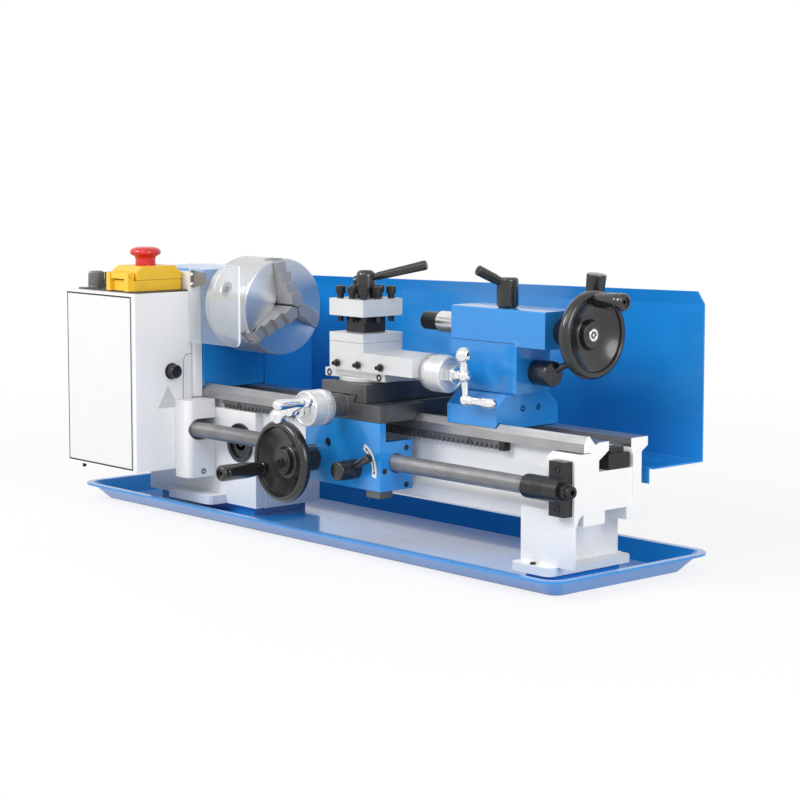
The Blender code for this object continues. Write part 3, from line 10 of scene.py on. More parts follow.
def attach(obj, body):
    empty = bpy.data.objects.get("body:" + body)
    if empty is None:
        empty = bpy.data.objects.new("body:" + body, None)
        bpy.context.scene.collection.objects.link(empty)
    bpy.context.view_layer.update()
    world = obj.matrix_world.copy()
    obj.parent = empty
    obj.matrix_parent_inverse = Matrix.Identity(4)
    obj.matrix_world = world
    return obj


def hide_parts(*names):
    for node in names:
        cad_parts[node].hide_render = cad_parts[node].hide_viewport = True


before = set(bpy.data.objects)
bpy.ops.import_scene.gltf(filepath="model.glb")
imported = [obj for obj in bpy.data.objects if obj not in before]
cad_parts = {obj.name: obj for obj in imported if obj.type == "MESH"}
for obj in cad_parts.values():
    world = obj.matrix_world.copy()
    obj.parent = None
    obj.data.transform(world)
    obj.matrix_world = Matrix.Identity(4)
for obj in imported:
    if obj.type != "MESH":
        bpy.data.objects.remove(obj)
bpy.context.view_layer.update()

bl_info = {
    "name": "Benchtop metal lathe",
    "version": (1, 0, 0),
    "blender": (4, 5, 0),
    "location": "3D View > Sidebar > Lathe",
    "description": "Builds the finished pieces of a benchtop metal lathe on its CAD frame",
    "category": "Add Mesh",
}

MM = 0.001

# Places that the pieces share, in millimetres. X runs along the spindle, +X to the tailstock.
AXIS_Z = 216.0
CHUCK_BACK, CHUCK_FACE, CHUCK_R = -196.0, -132.6, 50.0
JAW_ANGLE, JAW_WIDTH = 98.0, 13.0
SCREW_Y, SCREW_Z = -64.0, 87.5
WHEEL_X, WHEEL_Z, WHEEL_FACE = 17.0, 83.8, -127.0
POST_X, POST_Y, POST_TOP = 58.5, -52.0, 238.0
CROSS_X, CROSS_Z, COMPOUND_Z = 61.0, 138.8, 174.5      # axes of the two feed screws
APRON_FRONT, HALFNUT_X, HALFNUT_Z = -84.0, 80.0, 80.0
SCALE_X = 83.0                                         # middle of the half-nut scale
BOX_SIDE, BOX_FRONT = -218.0, -129.0
PANEL_TOP = 231.8
ESTOP_X, ESTOP_Y = -254.5, -87.0
KNOB_X, KNOB_Y = -316.0, -108.0
SWITCH_X, SWITCH_Y = -328.5, -81.0
TAIL_LEVER_X, TAIL_TOP = 205.0, 235.0
CLAMP_ELBOW = (274, 18, 194)


def colour(name, text, value):
    return FloatVectorProperty(name=name, description=text, default=value, subtype="COLOR",
                               size=3, min=0.0, max=1.0)


def length(name, text, value):
    return FloatProperty(name=name, description=text, default=value, unit="LENGTH", min=0.0)


class LatheColours(bpy.types.PropertyGroup):
    """Colours of the lathe's finishes."""
    paint: colour("Blue paint", "Gloss paint of the headstock, tailstock, apron and sheets",
                  (0.013, 0.245, 0.665))
    enamel: colour("White enamel", "Enamel of the bed casting and the covers", (0.86, 0.862, 0.865))
    steel: colour("Ground steel", "Ground and turned steel faces", (0.66, 0.67, 0.68))
    jaw: colour("Jaw steel", "Hardened jaws and key sockets", (0.36, 0.36, 0.375))
    ways: colour("Ground ways", "Flat and vee ways of the bed", (0.40, 0.40, 0.405))
    chrome: colour("Chrome", "Plated handles and dials", (0.80, 0.81, 0.82))
    iron: colour("Cast iron", "Machined grey iron of the saddle", (0.135, 0.137, 0.14))
    oxide: colour("Black oxide", "Blackened screws and brackets", (0.030, 0.030, 0.032))
    black: colour("Black plastic", "Handwheels, levers and grips", (0.011, 0.011, 0.012))
    grey: colour("Grey plastic", "Speed knob", (0.16, 0.16, 0.165))
    panel: colour("Dark panel", "Top panel of the control box", (0.055, 0.055, 0.058))
    yellow: colour("Yellow plastic", "Housing of the emergency stop", (0.86, 0.52, 0.03))
    red: colour("Red plastic", "Emergency stop button", (0.62, 0.012, 0.016))
    brass: colour("Brass", "Half nuts", (0.72, 0.50, 0.20))
    clear: colour("Clear sheet", "Guard in front of the chuck", (0.93, 0.96, 1.0))
    floor: colour("Floor", "Floor under the machine", (0.88, 0.88, 0.88))


class LatheSizes(bpy.types.PropertyGroup):
    """Sizes of the small features that the finished pieces add."""
    edge: length("Casting edge", "Rounding of the painted castings' edges", 0.9 * MM)
    sheet_edge: length("Sheet edge", "Rounding of sheet metal edges", 0.35 * MM)
    machined_edge: length("Machined edge", "Chamfer of the machined parts", 0.45 * MM)
    pitch: length("Thread pitch", "Pitch of the leadscrew's thread", 2.0 * MM)
    thread: length("Thread depth", "Depth of the leadscrew's thread", 1.1 * MM)
    rim_sides: IntProperty(name="Sides of a wheel", description="Sides of the turned wheels",
                           default=96, min=24, max=256)
    dial_marks: IntProperty(name="Marks on a dial", description="Graduations round each dial",
                            default=50, min=10, max=100)


# ---- working on meshes ----
def deselect():
    if bpy.context.object and bpy.context.object.mode != "OBJECT":
        bpy.ops.object.mode_set(mode="OBJECT")
    bpy.ops.object.select_all(action="DESELECT")


def hold(*objs):
    deselect()
    for obj in objs:
        obj.select_set(True)
    bpy.context.view_layer.objects.active = objs[0]


def edit(obj):
    hold(obj)
    bpy.ops.object.mode_set(mode="EDIT")
    bpy.ops.mesh.select_all(action="SELECT")


def pick_faces(obj, wanted):
    """In edit mode, select only the faces that wanted(face) is true for."""
    bpy.ops.mesh.select_mode(type="FACE")
    bpy.ops.mesh.select_all(action="DESELECT")
    mesh = bmesh.from_edit_mesh(obj.data)
    for face in mesh.faces:
        face.select = bool(wanted(face))
    bmesh.update_edit_mesh(obj.data)


def leave_edit():
    bpy.ops.mesh.select_mode(type="VERT")
    bpy.ops.object.mode_set(mode="OBJECT")


def settle(obj):
    """Leave edit mode and put the object's place into its mesh."""
    hold(obj)
    bpy.ops.object.transform_apply(location=True, rotation=True, scale=True)
    return obj


def modify(obj, kind, **settings):
    hold(obj)
    modifier = obj.modifiers.new(kind, kind)
    for key, value in settings.items():
        setattr(modifier, key, value)
    bpy.ops.object.modifier_apply(modifier=modifier.name)
    return obj


def round_edges(obj, width, segments=2):
    return modify(obj, "BEVEL", width=width, segments=segments, limit_method="ANGLE",
                  angle_limit=radians(30.0))


def join(*objs):
    hold(*objs)
    if len(objs) > 1:
        bpy.ops.object.join()
    return objs[0]


def cut(obj, *tools):
    for tool in tools:
        modify(obj, "BOOLEAN", operation="DIFFERENCE", object=tool, solver="EXACT")
        bpy.data.objects.remove(tool)
    return obj


def copies(obj, places):
    """One copy of a piece at each placing, each with its own mesh, joined into one."""
    made = []
    for place in places:
        other = obj.copy()
        other.data = obj.data.copy()
        bpy.context.collection.objects.link(other)
        other.matrix_world = place @ obj.matrix_world
        made.append(other)
    bpy.data.objects.remove(obj)
    return settle(join(*made))


def around(axis, centre, angle):
    shift = Matrix.Translation(Vector(centre) * MM)
    return shift @ Matrix.Rotation(radians(angle), 4, axis) @ shift.inverted()


def shifted(x, y, z):
    return Matrix.Translation(Vector((x, y, z)) * MM)


def block(low, high, edge=0.0, segments=2):
    low, high = Vector(low), Vector(high)
    deselect()
    bpy.ops.mesh.primitive_cube_add(size=MM, location=(low + high) / 2 * MM)
    obj = bpy.context.object
    obj.scale = high - low
    settle(obj)
    if edge:
        round_edges(obj, edge * MM, segments)
    return obj


def turned(start, towards, profile, sides=48, ring=False, ribs=None):
    """Turned piece: a circle extruded ring by ring along its axis.

    profile holds (distance, radius) in millimetres; "hex" after a pair makes that ring a hexagon.
    ribs is (from, to, depth): every second face between those distances is sunk by depth.
    """
    last, radius = profile[0][:2]
    deselect()
    bpy.ops.mesh.primitive_circle_add(vertices=sides, radius=radius * MM,
                                      fill_type="NOTHING" if ring else "NGON",
                                      location=(0, 0, last * MM))
    obj = settle(bpy.context.object)
    edit(obj)
    hexed = False
    for step in list(profile[1:]) + ([profile[0]] if ring else []):
        there, new = step[:2]
        bpy.ops.mesh.extrude_region_move(
            TRANSFORM_OT_translate={"value": (0, 0, (there - last) * MM)})
        bpy.ops.transform.resize(value=(new / radius, new / radius, 1),
                                 center_override=(0, 0, there * MM))
        if len(step) > 2 and not hexed:
            hexed = True
            mesh = bmesh.from_edit_mesh(obj.data)
            for vert in mesh.verts:
                if vert.select:
                    angle = atan2(vert.co.y, vert.co.x) % (pi / 3) - pi / 6
                    vert.co.xy *= cos(pi / 6) / cos(angle)
            bmesh.update_edit_mesh(obj.data)
        last, radius = there, new
    bpy.ops.mesh.select_all(action="SELECT")
    bpy.ops.mesh.remove_doubles(threshold=1e-7)
    bpy.ops.mesh.normals_make_consistent(inside=False)
    if ribs:
        def every_second(face):
            middle = face.calc_center_median()
            column = int((atan2(middle.y, middle.x) % (2 * pi)) / (2 * pi) * sides)
            return (abs(face.normal.z) < 0.4 and ribs[0] < middle.z / MM < ribs[1]
                    and column % 2 == 0)

        pick_faces(obj, every_second)
        bpy.ops.mesh.inset(thickness=0.12 * MM, depth=-ribs[2] * MM)
    leave_edit()
    turn = Vector(towards).to_track_quat("Z", "Y").to_matrix().to_4x4()
    obj.matrix_world = Matrix.Translation(Vector(start) * MM) @ turn
    return settle(obj)


def ball(centre, radius):
    deselect()
    bpy.ops.mesh.primitive_uv_sphere_add(segments=40, ring_count=24, radius=radius * MM,
                                         location=Vector(centre) * MM)
    return settle(bpy.context.object)


def rod(start, end, first, last=None, sides=32):
    start, end = Vector(start), Vector(end)
    reach = (end - start).length
    last = first if last is None else last
    edge = min(first, last) * 0.12
    return turned(start, end - start, [(0, first - edge), (edge, first), (reach - edge, last),
                                       (reach, last - edge)], sides)


def outline_plate(points, thickness, towards=(0, 0, 1)):
    """Plate with a drawn outline: a circle's corners are moved to the outline and extruded."""
    deselect()
    bpy.ops.mesh.primitive_circle_add(vertices=len(points), radius=MM, fill_type="NGON")
    obj = bpy.context.object
    for vert, point in zip(obj.data.vertices, points):
        vert.co = Vector(point) * MM
    edit(obj)
    bpy.ops.mesh.extrude_region_move(
        TRANSFORM_OT_translate={"value": Vector(towards) * thickness * MM})
    bpy.ops.mesh.select_all(action="SELECT")
    bpy.ops.mesh.normals_make_consistent(inside=False)
    bpy.ops.object.mode_set(mode="OBJECT")
    return obj


def socket_screw(at, towards, radius=3.0, height=2.6):
    return turned(at, towards, [
        (-0.8, radius), (height - 0.5, radius), (height - 0.1, radius - 0.15),
        (height, radius - 0.5), (height, radius * 0.58, "hex"), (height * 0.25, radius * 0.58),
        (height * 0.2, 0.3)], 36)


def sunk_screw(at, towards, radius=3.0):
    """Screw in a counterbore: a thin rim, then the head just under the surface."""
    return turned(at, towards, [
        (-0.5, radius + 0.7), (0.12, radius + 0.7), (0.15, radius + 0.55), (-0.25, radius + 0.3),
        (-0.25, radius), (0.05, radius - 0.1), (0.05, radius * 0.55, "hex"),
        (-0.4, radius * 0.5), (-0.42, 0.2)], 36)


def ring_marks(centre, axis, towards, radius, count, size):
    """Engraved marks round a dial, as thin dark inlays along its axis, every fifth one longer."""
    out = Vector(centre)
    marks = []
    step = 360.0 / count
    for group in (True, False):
        reach = size if group else size * 0.6
        end = out + Vector(towards) * reach
        low = [min(out[i], end[i]) - (0.14 if towards[i] == 0 else 0) for i in range(3)]
        high = [max(out[i], end[i]) + (0.14 if towards[i] == 0 else 0) for i in range(3)]
        mark = block(low, high)
        mark.matrix_world = shifted(0, 0, radius)
        settle(mark)
        places = [around(axis, centre, step * k) for k in range(count)
                  if (k % 5 == 0) == group]
        marks.append(copies(mark, places))
    return join(*marks)


# ---- finishes ----
FINISH = {}


class Nodes:
    """Short way to add nodes to a material or a world and link them."""

    def __init__(self, owner):
        owner.use_nodes = True
        self.owner = owner
        self.tree = owner.node_tree
        self.shader = self.tree.nodes.get("Principled BSDF")

    def add(self, kind, **values):
        node = self.tree.nodes.new("ShaderNode" + kind)
        for key, value in values.items():
            if key in node.inputs:
                node.inputs[key].default_value = value
            else:
                setattr(node, key, value)
        return node

    def link(self, output, socket):
        self.tree.links.new(output, socket)

    def noise(self, source, scale, detail, rough):
        node = self.add("TexNoise", Scale=scale, Detail=detail, Roughness=rough)
        self.link(source, node.inputs["Vector"])
        return node.outputs["Fac"]

    def spread(self, value, limits):
        """Map a value from one range to another; limits is (from, from, to, to)."""
        node = self.add("MapRange")
        for key, limit in zip(("From Min", "From Max", "To Min", "To Max"), limits):
            node.inputs[key].default_value = limit
        self.link(value, node.inputs["Value"])
        return node.outputs["Result"]

    def mix_shaders(self, factor, first, second, output):
        mix = self.add("MixShader")
        for source, socket in zip((factor, first, second), mix.inputs):
            self.link(source, socket)
        self.link(mix.outputs["Shader"], self.tree.nodes[output].inputs["Surface"])

    def directly_seen(self):
        """1 for camera, glossy and transmission rays, 0 for the others."""
        path = self.add("LightPath")
        last = path.outputs["Is Camera Ray"]
        for key in ("Is Glossy Ray", "Is Transmission Ray"):
            either = self.add("Math", operation="MAXIMUM")
            self.link(last, either.inputs[0])
            self.link(path.outputs[key], either.inputs[1])
            last = either.outputs["Value"]
        return last


def blend(shade, factor):
    return (*(min(1.0, c * factor) for c in shade), 1.0)


def make_finish(name, shade, rough=(0.3, 0.4), metallic=0.0, patch=(14.0, 0.06),
                grain=(900.0, 0.05, 0.0002), stretch=(1, 1, 1), wear=None, coat=None,
                rings=None, **sockets):
    """One procedural finish: drifting colour, worn patches, roughness and fine relief."""
    nodes = Nodes(bpy.data.materials.new(name))
    shader = nodes.shader
    shader.inputs["Metallic"].default_value = metallic
    for key, value in sockets.items():
        shader.inputs[key.replace("_", " ")].default_value = value
    if coat:
        shader.inputs["Coat Weight"].default_value = coat[0]
        shader.inputs["Coat Roughness"].default_value = coat[1]
    place = nodes.add("TexCoord").outputs["Object"]
    mapping = nodes.add("Mapping", Scale=stretch)
    nodes.link(place, mapping.inputs["Vector"])
    place_stretched = mapping.outputs["Vector"]
    tint = nodes.add("ValToRGB")
    for element, position, factor in zip(tint.color_ramp.elements, (0.32, 0.68),
                                         (1 - patch[1], 1 + patch[1])):
        element.position, element.color = position, blend(shade, factor)
    nodes.link(nodes.noise(place, patch[0], 4.0, 0.6), tint.inputs["Fac"])
    final = tint.outputs["Color"]
    if wear:
        # wear is (scale, threshold, colour): small scuffs where the noise runs high
        scuffs = nodes.noise(place_stretched, wear[0], 6.0, 0.7)
        mix = nodes.add("MixRGB")
        mix.inputs["Color2"].default_value = (*wear[2], 1.0)
        nodes.link(nodes.spread(scuffs, (wear[1], wear[1] + 0.06, 0.0, 0.7)), mix.inputs["Fac"])
        nodes.link(final, mix.inputs["Color1"])
        final = mix.outputs["Color"]
    nodes.link(final, shader.inputs["Base Color"])
    cloud = nodes.noise(place_stretched, patch[0] * 6, 6.0, 0.65)
    nodes.link(nodes.spread(cloud, (0.3, 0.7, *rough)), shader.inputs["Roughness"])
    bump = nodes.add("Bump", Strength=grain[1], Distance=grain[2])
    nodes.link(nodes.noise(place_stretched, grain[0], 3.0, 0.55), bump.inputs["Height"])
    relief = bump.outputs["Normal"]
    if rings:
        # rings is (axis, centre, scale, strength): tool marks round the turning axis
        axis, centre, scale, strength = rings
        middle = nodes.add("Mapping", Location=tuple(-c * MM for c in centre))
        nodes.link(place, middle.inputs["Vector"])
        for waves, amount in (
                (nodes.add("TexWave", wave_type="RINGS", rings_direction=axis, Scale=scale,
                           Distortion=1.2, Detail=2.0), strength),
                (nodes.add("TexWave", wave_type="BANDS", bands_direction=axis,
                           Scale=scale * 1.3, Distortion=0.8, Detail=2.0), strength * 0.5)):
            marks = nodes.add("Bump", Strength=amount, Distance=0.00012)
            nodes.link(middle.outputs["Vector"], waves.inputs["Vector"])
            nodes.link(waves.outputs["Fac"], marks.inputs["Height"])
            nodes.link(relief, marks.inputs["Normal"])
            relief = marks.outputs["Normal"]
        # highlights spread across the tool marks, so the tangent points away from the axis
        away = nodes.add("VectorMath", operation="MULTIPLY")
        away.inputs[1].default_value = [0.0 if letter == axis else 1.0 for letter in "XYZ"]
        nodes.link(middle.outputs["Vector"], away.inputs[0])
        nodes.link(away.outputs["Vector"], shader.inputs["Tangent"])
    nodes.link(relief, shader.inputs["Normal"])
    FINISH[name] = nodes.owner


def put_finish(node, finish):
    """Give a CAD node that stays in view a finish through its own material slots."""
    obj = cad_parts[node]
    if not obj.material_slots:
        obj.data.materials.append(None)
    for slot in obj.material_slots:
        slot.link = "OBJECT"
        slot.material = FINISH[finish]


def finish(obj, name, body, finishes, *stands_for, sharp=38.0, where=None):
    """Name a finished piece, give it its finishes and its body, and hide the CAD parts it stands
    for.
    """
    obj.name = obj.data.name = name
    obj.data.materials.clear()
    for entry in [finishes] if isinstance(finishes, str) else finishes:
        obj.data.materials.append(FINISH[entry])
    if where:
        for face in obj.data.polygons:
            face.material_index = where(face.center / MM, face.normal)
    hold(obj)
    bpy.ops.object.shade_smooth_by_angle(angle=radians(sharp))
    modify(obj, "WEIGHTED_NORMAL", keep_sharp=True, weight=50)
    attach(obj, body)
    if stands_for:
        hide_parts(*stands_for)
    return obj


def carried(node, edge, segments=2):
    """Copy of a CAD node with its triangles merged into faces and its edges rounded."""
    obj = bpy.data.objects.new(node + "_copy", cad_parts[node].data.copy())
    bpy.context.collection.objects.link(obj)
    edit(obj)
    bpy.ops.mesh.remove_doubles(threshold=2e-6)
    bpy.ops.mesh.dissolve_limited(angle_limit=radians(0.3))
    bpy.ops.object.mode_set(mode="OBJECT")
    if edge:
        round_edges(obj, edge, segments)
    return obj


class LatheOperator:
    bl_options = {"REGISTER", "UNDO"}

    def sizes(self, context):
        return context.scene.lathe_sizes


class LATHE_OT_finishes(LatheOperator, bpy.types.Operator):
    """Make the paints, metals and plastics of the lathe"""
    bl_idname = "lathe.finishes"
    bl_label = "Finishes"

    def execute(self, context):
        tone = context.scene.lathe_colours
        make_finish("gloss_paint", tone.paint, (0.20, 0.28), patch=(7.0, 0.04),
                    grain=(420.0, 0.02, 0.0003), coat=(0.5, 0.06))
        make_finish("white_enamel", tone.enamel, (0.34, 0.44), patch=(11.0, 0.015),
                    grain=(520.0, 0.04, 0.0003), coat=(0.15, 0.2))
        make_finish("rough_enamel", tone.enamel, (0.40, 0.52), patch=(16.0, 0.02),
                    grain=(330.0, 0.12, 0.0005), wear=(900.0, 0.76, (0.50, 0.50, 0.51)))
        make_finish("cast_enamel", tone.enamel, (0.44, 0.60), patch=(16.0, 0.03),
                    grain=(380.0, 0.55, 0.0009), wear=(1100.0, 0.63, (0.34, 0.34, 0.35)))
        make_finish("ground_ways", tone.ways, (0.26, 0.40), 0.9, patch=(30.0, 0.08),
                    grain=(900.0, 0.08, 0.0002), stretch=(0.05, 1, 1),
                    wear=(500.0, 0.70, (0.25, 0.25, 0.26)))
        make_finish("ground_steel", tone.steel, (0.36, 0.48), 0.55, patch=(24.0, 0.05),
                    grain=(1100.0, 0.08, 0.0002), stretch=(0.08, 1, 1),
                    wear=(800.0, 0.73, (0.42, 0.42, 0.43)))
        make_finish("jaw_steel", tone.jaw, (0.34, 0.44), 0.4, patch=(60.0, 0.06),
                    grain=(500.0, 0.01, 0.0001))
        make_finish("chuck_steel", tone.steel, (0.28, 0.36), 0.95, patch=(18.0, 0.03),
                    rings=("X", (0, 0, AXIS_Z), 900.0, 0.04), Anisotropic=0.85)
        make_finish("quill_steel", tone.chrome, (0.16, 0.26), 1.0, patch=(40.0, 0.06),
                    rings=("X", (0, 0, AXIS_Z), 1100.0, 0.04))
        make_finish("chrome", tone.chrome, (0.05, 0.12), 1.0, patch=(50.0, 0.03),
                    grain=(200.0, 0.02, 0.0002))
        make_finish("cross_dial", tone.steel, (0.30, 0.38), 0.6, patch=(50.0, 0.03),
                    rings=("Y", (CROSS_X, 0, CROSS_Z), 900.0, 0.03), Anisotropic=0.5)
        make_finish("compound_dial", tone.steel, (0.30, 0.38), 0.6, patch=(50.0, 0.03),
                    rings=("X", (0, POST_Y, COMPOUND_Z), 900.0, 0.03), Anisotropic=0.5)
        make_finish("machined_iron", tone.iron, (0.34, 0.50), 0.75, patch=(30.0, 0.14),
                    grain=(700.0, 0.16, 0.0003), stretch=(1, 0.08, 1),
                    wear=(600.0, 0.64, (0.38, 0.38, 0.39)))
        make_finish("black_oxide", tone.oxide, (0.26, 0.42), 0.55, patch=(40.0, 0.25),
                    grain=(900.0, 0.10, 0.0002), wear=(700.0, 0.70, (0.16, 0.16, 0.165)))
        make_finish("thread_steel", (0.36, 0.36, 0.365), (0.28, 0.38), 0.75, patch=(60.0, 0.08),
                    grain=(500.0, 0.01, 0.0001))
        make_finish("satin_plastic", tone.black, (0.22, 0.32), patch=(30.0, 0.2),
                    grain=(500.0, 0.01, 0.0001), coat=(0.3, 0.12))
        make_finish("gloss_plastic", tone.black, (0.10, 0.20), patch=(30.0, 0.15),
                    grain=(260.0, 0.03, 0.0003), coat=(0.4, 0.05))
        make_finish("grey_plastic", tone.grey, (0.38, 0.52), patch=(50.0, 0.08),
                    grain=(1500.0, 0.14, 0.0002))
        make_finish("dark_panel", tone.panel, (0.36, 0.50), patch=(30.0, 0.10),
                    grain=(1200.0, 0.10, 0.0002))
        make_finish("yellow_plastic", tone.yellow, (0.26, 0.38), patch=(30.0, 0.04),
                    grain=(1300.0, 0.07, 0.0002), wear=(500.0, 0.80, (0.60, 0.36, 0.05)))
        make_finish("red_plastic", tone.red, (0.20, 0.32), patch=(50.0, 0.06),
                    grain=(1300.0, 0.05, 0.0002), coat=(0.3, 0.08))
        make_finish("brass", tone.brass, (0.24, 0.36), 1.0, patch=(50.0, 0.08),
                    grain=(900.0, 0.10, 0.0002))
        make_finish("rubber", (0.018, 0.018, 0.018), (0.62, 0.8), patch=(60.0, 0.15),
                    grain=(900.0, 0.2, 0.0003))
        make_finish("plain_label", (0.60, 0.60, 0.60), (0.3, 0.42), patch=(30.0, 0.03),
                    grain=(600.0, 0.03, 0.0002))
        make_finish("plate_white", (0.74, 0.74, 0.745), (0.26, 0.34), patch=(30.0, 0.012),
                    grain=(600.0, 0.02, 0.0002))
        make_finish("ink", (0.012, 0.012, 0.013), (0.4, 0.5), patch=(60.0, 0.1),
                    grain=(900.0, 0.02, 0.0001))
        make_finish("white_mark", (0.82, 0.82, 0.82), (0.4, 0.5), patch=(60.0, 0.04),
                    grain=(900.0, 0.02, 0.0001))
        make_finish("clear_sheet", tone.clear, (0.0, 0.02), patch=(10.0, 0.02),
                    grain=(60.0, 0.001, 0.0001), Transmission_Weight=0.90, IOR=1.3)
        # Edges of the clear guard: near-white colour with a faint emission glow, a painted
        # highlight where the sheet's cut edges catch the light.
        make_finish("glowing_edge_highlight", (0.90, 0.93, 0.96), (0.1, 0.2), patch=(10.0, 0.02),
                    grain=(300.0, 0.01, 0.0001), Emission_Strength=0.25,
                    Emission_Color=(0.9, 0.95, 1.0, 1.0))
        return {"FINISHED"}


class LATHE_OT_tray(LatheOperator, bpy.types.Operator):
    """Pressed chip tray with its rolled lip"""
    bl_idname = "lathe.tray"
    bl_label = "Chip tray"

    def execute(self, context):
        finish(carried("chip_tray", self.sizes(context).sheet_edge), "tray", "base",
               "gloss_paint", "chip_tray")
        return {"FINISHED"}


class LATHE_OT_bed(LatheOperator, bpy.types.Operator):
    """Bed casting with ground ways, the feed rack, the stop block and the round port"""
    bl_idname = "lathe.bed"
    bl_label = "Bed"

    def execute(self, context):
        sizes = self.sizes(context)

        def ground(at, normal):
            if at.z > 117.4 and abs(normal.x) < 0.9:
                return 1
            return 2 if at.x > 296 and at.z < 68 else 0

        finish(carried("lathe_bed", sizes.edge * 0.8), "bed_casting", "base",
               ["rough_enamel", "ground_ways", "cast_enamel"], "lathe_bed", where=ground)
        finish(carried("feed_rack", 0.12 * MM, 1), "rack", "base", "machined_iron", "feed_rack")
        screws = [sunk_screw((x, -41.05, 114.6), (0, -1, 0), 2.0) for x in (-154.6, 20, 190)]
        stop = block((228.5, -41.5, 109.4), (235.5, -34, 117.6), 0.4)
        finish(join(*screws, stop), "rack_screws", "base", "black_oxide")
        finish(carried("bed_stop", 0.5 * MM), "stop_block", "base", "black_oxide", "bed_stop")
        port = turned((-151.5, -42.3, 76), (0, -1, 0), [
            (0, 20.5), (2.1, 20.5), (2.6, 20.1), (2.75, 19.4), (2.75, 17.0), (2.4, 15.9),
            (-4.0, 15.4), (-6.0, 15.2), (-6.0, 9.2), (-0.6, 8.8), (0.0, 8.2), (0.0, 4.4),
            (-3.0, 4.0), (-3.2, 0.5)], 72)
        finish(port, "port_rim", "base", "satin_plastic", "port_ring")
        bolt = socket_screw((288, -57, 17.2), (0, 0, 1), 2.6, 1.6)
        finish(bolt, "foot_bolt", "base", "black_oxide")
        return {"FINISHED"}


class LATHE_OT_leadscrew(LatheOperator, bpy.types.Operator):
    """Threaded leadscrew with its nut, and the brackets that carry it"""
    bl_idname = "lathe.leadscrew"
    bl_label = "Leadscrew"

    def execute(self, context):
        sizes = self.sizes(context)
        pitch, depth = sizes.pitch, sizes.thread
        start, end = -262 * MM, 286.5 * MM
        deselect()
        bpy.ops.mesh.primitive_plane_add(size=MM)
        ridge = bpy.context.object
        edit(ridge)
        bpy.ops.mesh.delete(type="ONLY_FACE")
        bpy.ops.mesh.select_all(action="DESELECT")
        mesh = bmesh.from_edit_mesh(ridge.data)
        mesh.edges.ensure_lookup_table()
        mesh.edges[0].select = True
        bmesh.update_edit_mesh(ridge.data)
        bpy.ops.mesh.delete(type="EDGE")
        bpy.ops.object.mode_set(mode="OBJECT")
        order = open_line(ridge)
        foot, crest = 8.0 * MM - depth * 1.05, 8.0 * MM
        for index, (along, high) in zip(order, ((0.05, foot), (0.30, crest), (0.55, crest),
                                                (0.80, foot))):
            ridge.data.vertices[index].co = (start + along * pitch, 0, high)
        modify(ridge, "SCREW", axis="X", angle=2 * pi, screw_offset=pitch, steps=20,
               render_steps=20, iterations=int((end - start) / pitch), use_normal_calculate=True)
        ridge.matrix_world = shifted(0, SCREW_Y, SCREW_Z)
        settle(ridge)
        core = turned((-340, SCREW_Y, SCREW_Z), (1, 0, 0), [
            (0, 5.6), (0.6, 6.0), (26, 6.0), (26, 8.0), (78, 8.0), (78, 8.0 - depth / MM),
            (626, 8.0 - depth / MM), (626.5, 6.0), (671, 6.0)], 36)
        screw = join(core, ridge)
        finish(screw, "leadscrew_thread", "feed_screw", "thread_steel", "leadscrew", sharp=28)
        nut = turned((331.3, SCREW_Y, SCREW_Z), (1, 0, 0), [
            (0, 7.4), (0.6, 8.0), (5.0, 8.0), (5.7, 7.2), (5.7, 5.6)], 6)
        end_cap = turned((336.8, SCREW_Y, SCREW_Z), (1, 0, 0), [
            (0, 5.6), (4.4, 5.6), (5.1, 5.0), (5.1, 2.8, "hex"), (1.5, 2.6), (1.4, 0.2)], 36)
        finish(join(round_edges(nut, 0.25 * MM), end_cap), "leadscrew_nut", "feed_screw",
               "black_oxide")
        finish(carried("screw_bracket_right", 0.6 * MM), "right_bracket", "base", "black_oxide",
               "screw_bracket_right")
        screws = [socket_screw((321.5, -62.5, z), (0, -1, 0), 3.9, 0.9) for z in (70.5, 105.5)]
        finish(join(*screws), "bracket_screws", "base", "black_oxide")
        collar = turned((288.2, SCREW_Y, SCREW_Z), (1, 0, 0), [
            (0, 9.6), (0.8, 10.75), (10.0, 10.75), (10.4, 10.5), (11.0, 10.5), (11.4, 10.75),
            (23.5, 10.75)], 60)
        finish(collar, "bracket_barrel", "base", "black_oxide")
        finish(carried("screw_bracket_left", 0.6 * MM), "left_bracket", "base", "machined_iron",
               "screw_bracket_left")
        put_finish("leadscrew_gear", "black_oxide")
        return {"FINISHED"}


def open_line(obj):
    """Vertex order of an open chain of edges, from one loose end to the other."""
    links = {}
    for edge in obj.data.edges:
        first, second = edge.vertices
        links.setdefault(first, []).append(second)
        links.setdefault(second, []).append(first)
    here = next(v for v, near in links.items() if len(near) == 1)
    order = [here]
    while len(order) < len(links):
        here = next(v for v in links[here] if v not in order)
        order.append(here)
    return order


class LATHE_OT_headstock(LatheOperator, bpy.types.Operator):
    """Headstock casting, its white front cover, the gear cover and the motor cover"""
    bl_idname = "lathe.headstock"
    bl_label = "Headstock"

    def execute(self, context):
        edge = self.sizes(context).edge
        for node, name, paint, width in (
                ("headstock", "headstock_casting", "gloss_paint", edge),
                ("headstock_cover", "front_cover", "white_enamel", edge),
                ("gear_cover", "end_cover", "white_enamel", edge * 1.6),
                ("motor_cover", "rear_cover", "gloss_paint", edge * 1.6),
                ("screw_cover", "leadscrew_cover", "white_enamel", edge)):
            finish(carried(node, width), name, "base", paint, node)
        screw = sunk_screw((-194.95, -58.0, 43.0), (1, 0, 0), 2.6)
        finish(screw, "cover_screw", "base", "black_oxide")
        for node, paint in (("drive_motor", "black_oxide"), ("motor_pulley", "ground_steel"),
                            ("spindle_pulley", "machined_iron"), ("drive_belt", "rubber"),
                            ("spindle_gear", "black_oxide"), ("idler_gear", "black_oxide"),
                            ("spindle_bearing_front", "ground_steel"),
                            ("spindle_bearing_rear", "ground_steel")):
            put_finish(node, paint)
        return {"FINISHED"}


